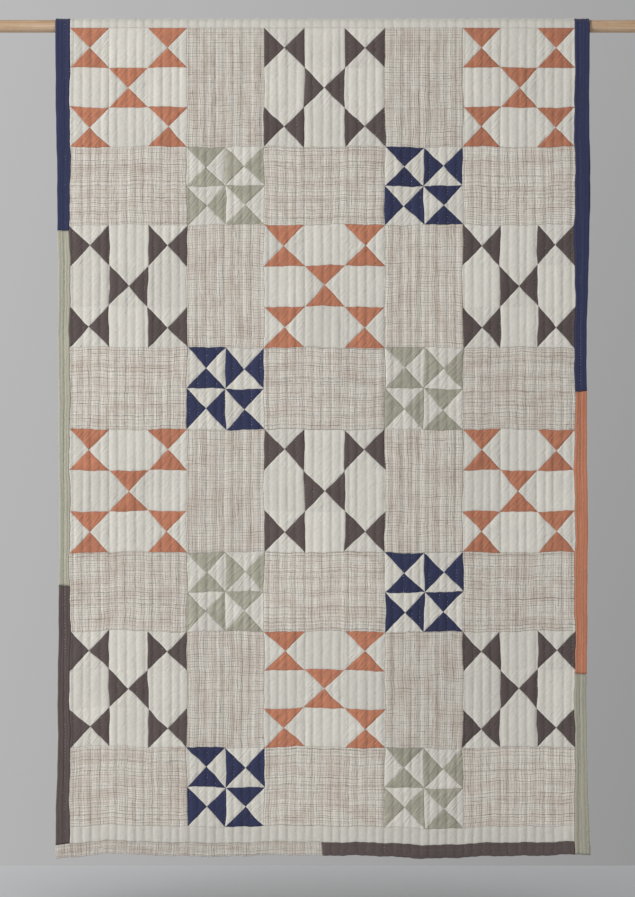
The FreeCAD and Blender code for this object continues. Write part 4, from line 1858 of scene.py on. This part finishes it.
@dataclass
class Studio:
    """A pale floor, a grey surround, soft light and the camera."""

    floor_z: float = -2.262
    distance: float = 6.0
    view_height: float = 2.278
    centre: tuple[float, float] = (-0.0127, -1.0757)
    ambient: float = 0.18

    def softbox(
        self,
        name: str,
        place: Sequence[float],
        target: Sequence[float],
        size: float,
        power: float,
        colour: str,
    ) -> bpy.types.Object:
        """Hang one square softbox.

        Args:
            name: The lamp's name.
            place: Where it is, in metres.
            target: What it points at.
            size: Side in metres.
            power: Watts.
            colour: Its colour.

        Returns:
            The lamp.
        """
        lamp = bpy.data.lights.new(name, "AREA")
        lamp.size = size
        lamp.energy = power
        lamp.color = linear(colour)[:3]
        box = bpy.data.objects.new(name, lamp)
        box.location = place
        box.rotation_euler = (Vector(target) - Vector(place)).to_track_quat("-Z", "Y").to_euler()
        bpy.context.scene.collection.objects.link(box)
        return box

    def lay_floor(self) -> bpy.types.Object:
        """Lay the pale floor, which slopes away far behind.

        Returns:
            The floor.
        """
        bm = bmesh.new()
        bmesh.ops.create_grid(bm, x_segments=1, y_segments=1, size=0.5)
        bmesh.ops.scale(bm, vec=(30.0, 14.0, 1.0), verts=bm.verts)
        bmesh.ops.translate(bm, vec=(0.0, -6.3, self.floor_z), verts=bm.verts)
        far = [edge for edge in bm.edges if all(vert.co.y > 0 for vert in edge.verts)]
        slope = bmesh.ops.extrude_edge_only(bm, edges=far)
        moved = [item for item in slope["geom"] if isinstance(item, bmesh.types.BMVert)]
        bmesh.ops.translate(bm, vec=(0.0, 13.0, -2.6), verts=moved)
        bmesh.ops.recalc_face_normals(bm, faces=bm.faces)
        mesh = bpy.data.meshes.new("floor")
        bm.to_mesh(mesh)
        bm.free()
        paint = bpy.data.materials.new("studio_floor")
        paint.use_nodes = True
        tree = paint.node_tree
        shader = tree.nodes["Principled BSDF"]
        place = add_node(tree, "ShaderNodeTexCoord", {}, {})
        split = add_node(tree, "ShaderNodeSeparateXYZ", {}, {0: place.outputs["Object"]})
        # Painted light and shade: the floor is drawn lighter on the left and darker on the right, as if lit
        # from the left.
        side = add_node(tree, "ShaderNodeMapRange", {1: -1.3, 2: 1.3, 3: 0.0, 4: 1.0}, {0: split.outputs[0]})
        tone = add_node(
            tree, "ShaderNodeMix", {
                "data_type": "RGBA", 6: linear("C9CACC"), 7: linear("A3A4A6")
            }, {0: side.outputs[0]}
        )
        tree.links.new(tone.outputs[2], shader.inputs["Base Color"])
        shader.inputs["Roughness"].default_value = 0.9
        mesh.materials.append(paint)
        floor = bpy.data.objects.new("floor", mesh)
        bpy.context.scene.collection.objects.link(floor)
        return floor

    def paint_surround(self) -> None:
        """Paint the grey surround with painted shade, darker to the right and below, and dim its light."""
        world = bpy.data.worlds.new("studio")
        bpy.context.scene.world = world
        world.use_nodes = True
        tree = world.node_tree
        tree.nodes.clear()
        place = add_node(tree, "ShaderNodeTexCoord", {}, {})
        split = add_node(tree, "ShaderNodeSeparateXYZ", {}, {0: place.outputs["Generated"]})
        side = add_node(
            tree, "ShaderNodeMapRange", {1: -0.13, 2: 0.13, 3: 0.0, 4: 1.0}, {0: split.outputs[0]}
        )
        down = add_node(
            tree, "ShaderNodeMapRange", {1: 0.18, 2: -0.19, 3: 0.0, 4: 1.0}, {0: split.outputs[2]}
        )
        high, low = (
            add_node(
                tree,
                "ShaderNodeMix",
                {"data_type": "RGBA", 6: linear(left), 7: linear(right)},
                {0: side.outputs[0]},
            )
            for left, right in (("BABABA", "A5A5A5"), ("B2B2B2", "949494"))
        )
        wall = add_node(
            tree,
            "ShaderNodeMix",
            {"data_type": "RGBA"},
            {0: down.outputs[0], 6: high.outputs[2], 7: low.outputs[2]},
        )
        seen = add_node(tree, "ShaderNodeLightPath", {}, {})
        grey = add_node(tree, "ShaderNodeBackground", {"Strength": 1.0}, {"Color": wall.outputs[2]})
        dim = add_node(
            tree, "ShaderNodeBackground", {"Strength": self.ambient, "Color": linear("D8DADC")}, {}
        )
        sky = add_node(
            tree,
            "ShaderNodeMixShader",
            {},
            {0: seen.outputs["Is Camera Ray"], 1: dim.outputs[0], 2: grey.outputs[0]},
        )
        add_node(tree, "ShaderNodeOutputWorld", {}, {"Surface": sky.outputs[0]})

    def light(self, floor: bpy.types.Object) -> None:
        """Light the quilt and the floor, each with its own lamps.

        Args:
            floor: The floor.
        """
        middle = (0.0, 0.0, -1.0)
        lamps = (
            self.softbox("window", (-9.0, -5.2, 2.2), middle, 3.0, 1040.0, "FFFDF9"),
            self.softbox("fill", (5.5, -6.5, 0.5), middle, 3.5, 85.0, "F8F7F5"),
            self.softbox("back", (7.5, 3.6, 2.4), middle, 2.6, 860.0, "FFFFFF"),
        )
        overhead = self.softbox("overhead", (0.0, -2.0, 18.0), (0.0, -2.0, 0.0), 12.0, 3600.0, "FFFFFF")
        flagged, open_floor = bpy.data.collections.new("flagged"), bpy.data.collections.new("open_floor")
        flagged.objects.link(floor)
        flagged.collection_objects[0].light_linking.link_state = "EXCLUDE"
        open_floor.objects.link(floor)
        for lamp in lamps:
            lamp.light_linking.receiver_collection = flagged
        overhead.light_linking.receiver_collection = open_floor

    def set_camera(self) -> None:
        """Stand the camera square in front of the quilt."""
        scene = bpy.context.scene
        scene.view_settings.view_transform = "Standard"
        lens = bpy.data.cameras.new("camera")
        lens.sensor_width = 36.0
        lens.lens = 36.0 * self.distance / self.view_height
        camera = bpy.data.objects.new("camera", lens)
        camera.location = (self.centre[0], -self.distance - 0.02, self.centre[1])
        camera.rotation_euler = (math.pi / 2, 0.0, 0.0)
        scene.collection.objects.link(camera)
        scene.camera = camera

    def build(self) -> None:
        """Set up the studio."""
        floor = self.lay_floor()
        self.paint_surround()
        self.light(floor)
        self.set_camera()


def dress_pole() -> None:
    """Give the pole its bare wood."""
    pole = next(o for o in bpy.data.objects if o.get("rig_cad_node") == "pole" or o.name == "pole")
    wood = BareDowel().material()
    if not pole.material_slots:
        pole.data.materials.append(wood)
    for slot in pole.material_slots:
        slot.material = wood
    LOG.info("pole dressed")


def main() -> None:
    """Build the quilt, dress the pole and set up the studio."""
    logging.basicConfig(level=logging.INFO, format="%(message)s")
    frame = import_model()
    layout = Layout(list(frame["nodes"]), frame["record"]["behaviour"]["joints"])
    swatch = QuiltedSwatch()
    swatch.sew()
    drape = Drape(swatch, sum(layout.columns) / 2, layout.half_width, layout.hem, -layout.fold_depth)
    shelf = ClothShelf()
    patchwork = Patchwork(layout, drape, shelf)
    binding = Binding(layout, drape, shelf)
    backing = Backing(layout, drape, shelf)
    stitching = Stitching(layout, drape)
    for part in (patchwork, binding, backing, stitching):
        part.build()
    dress_pole()
    Studio().build()


if __name__ == "__main__":
    main()
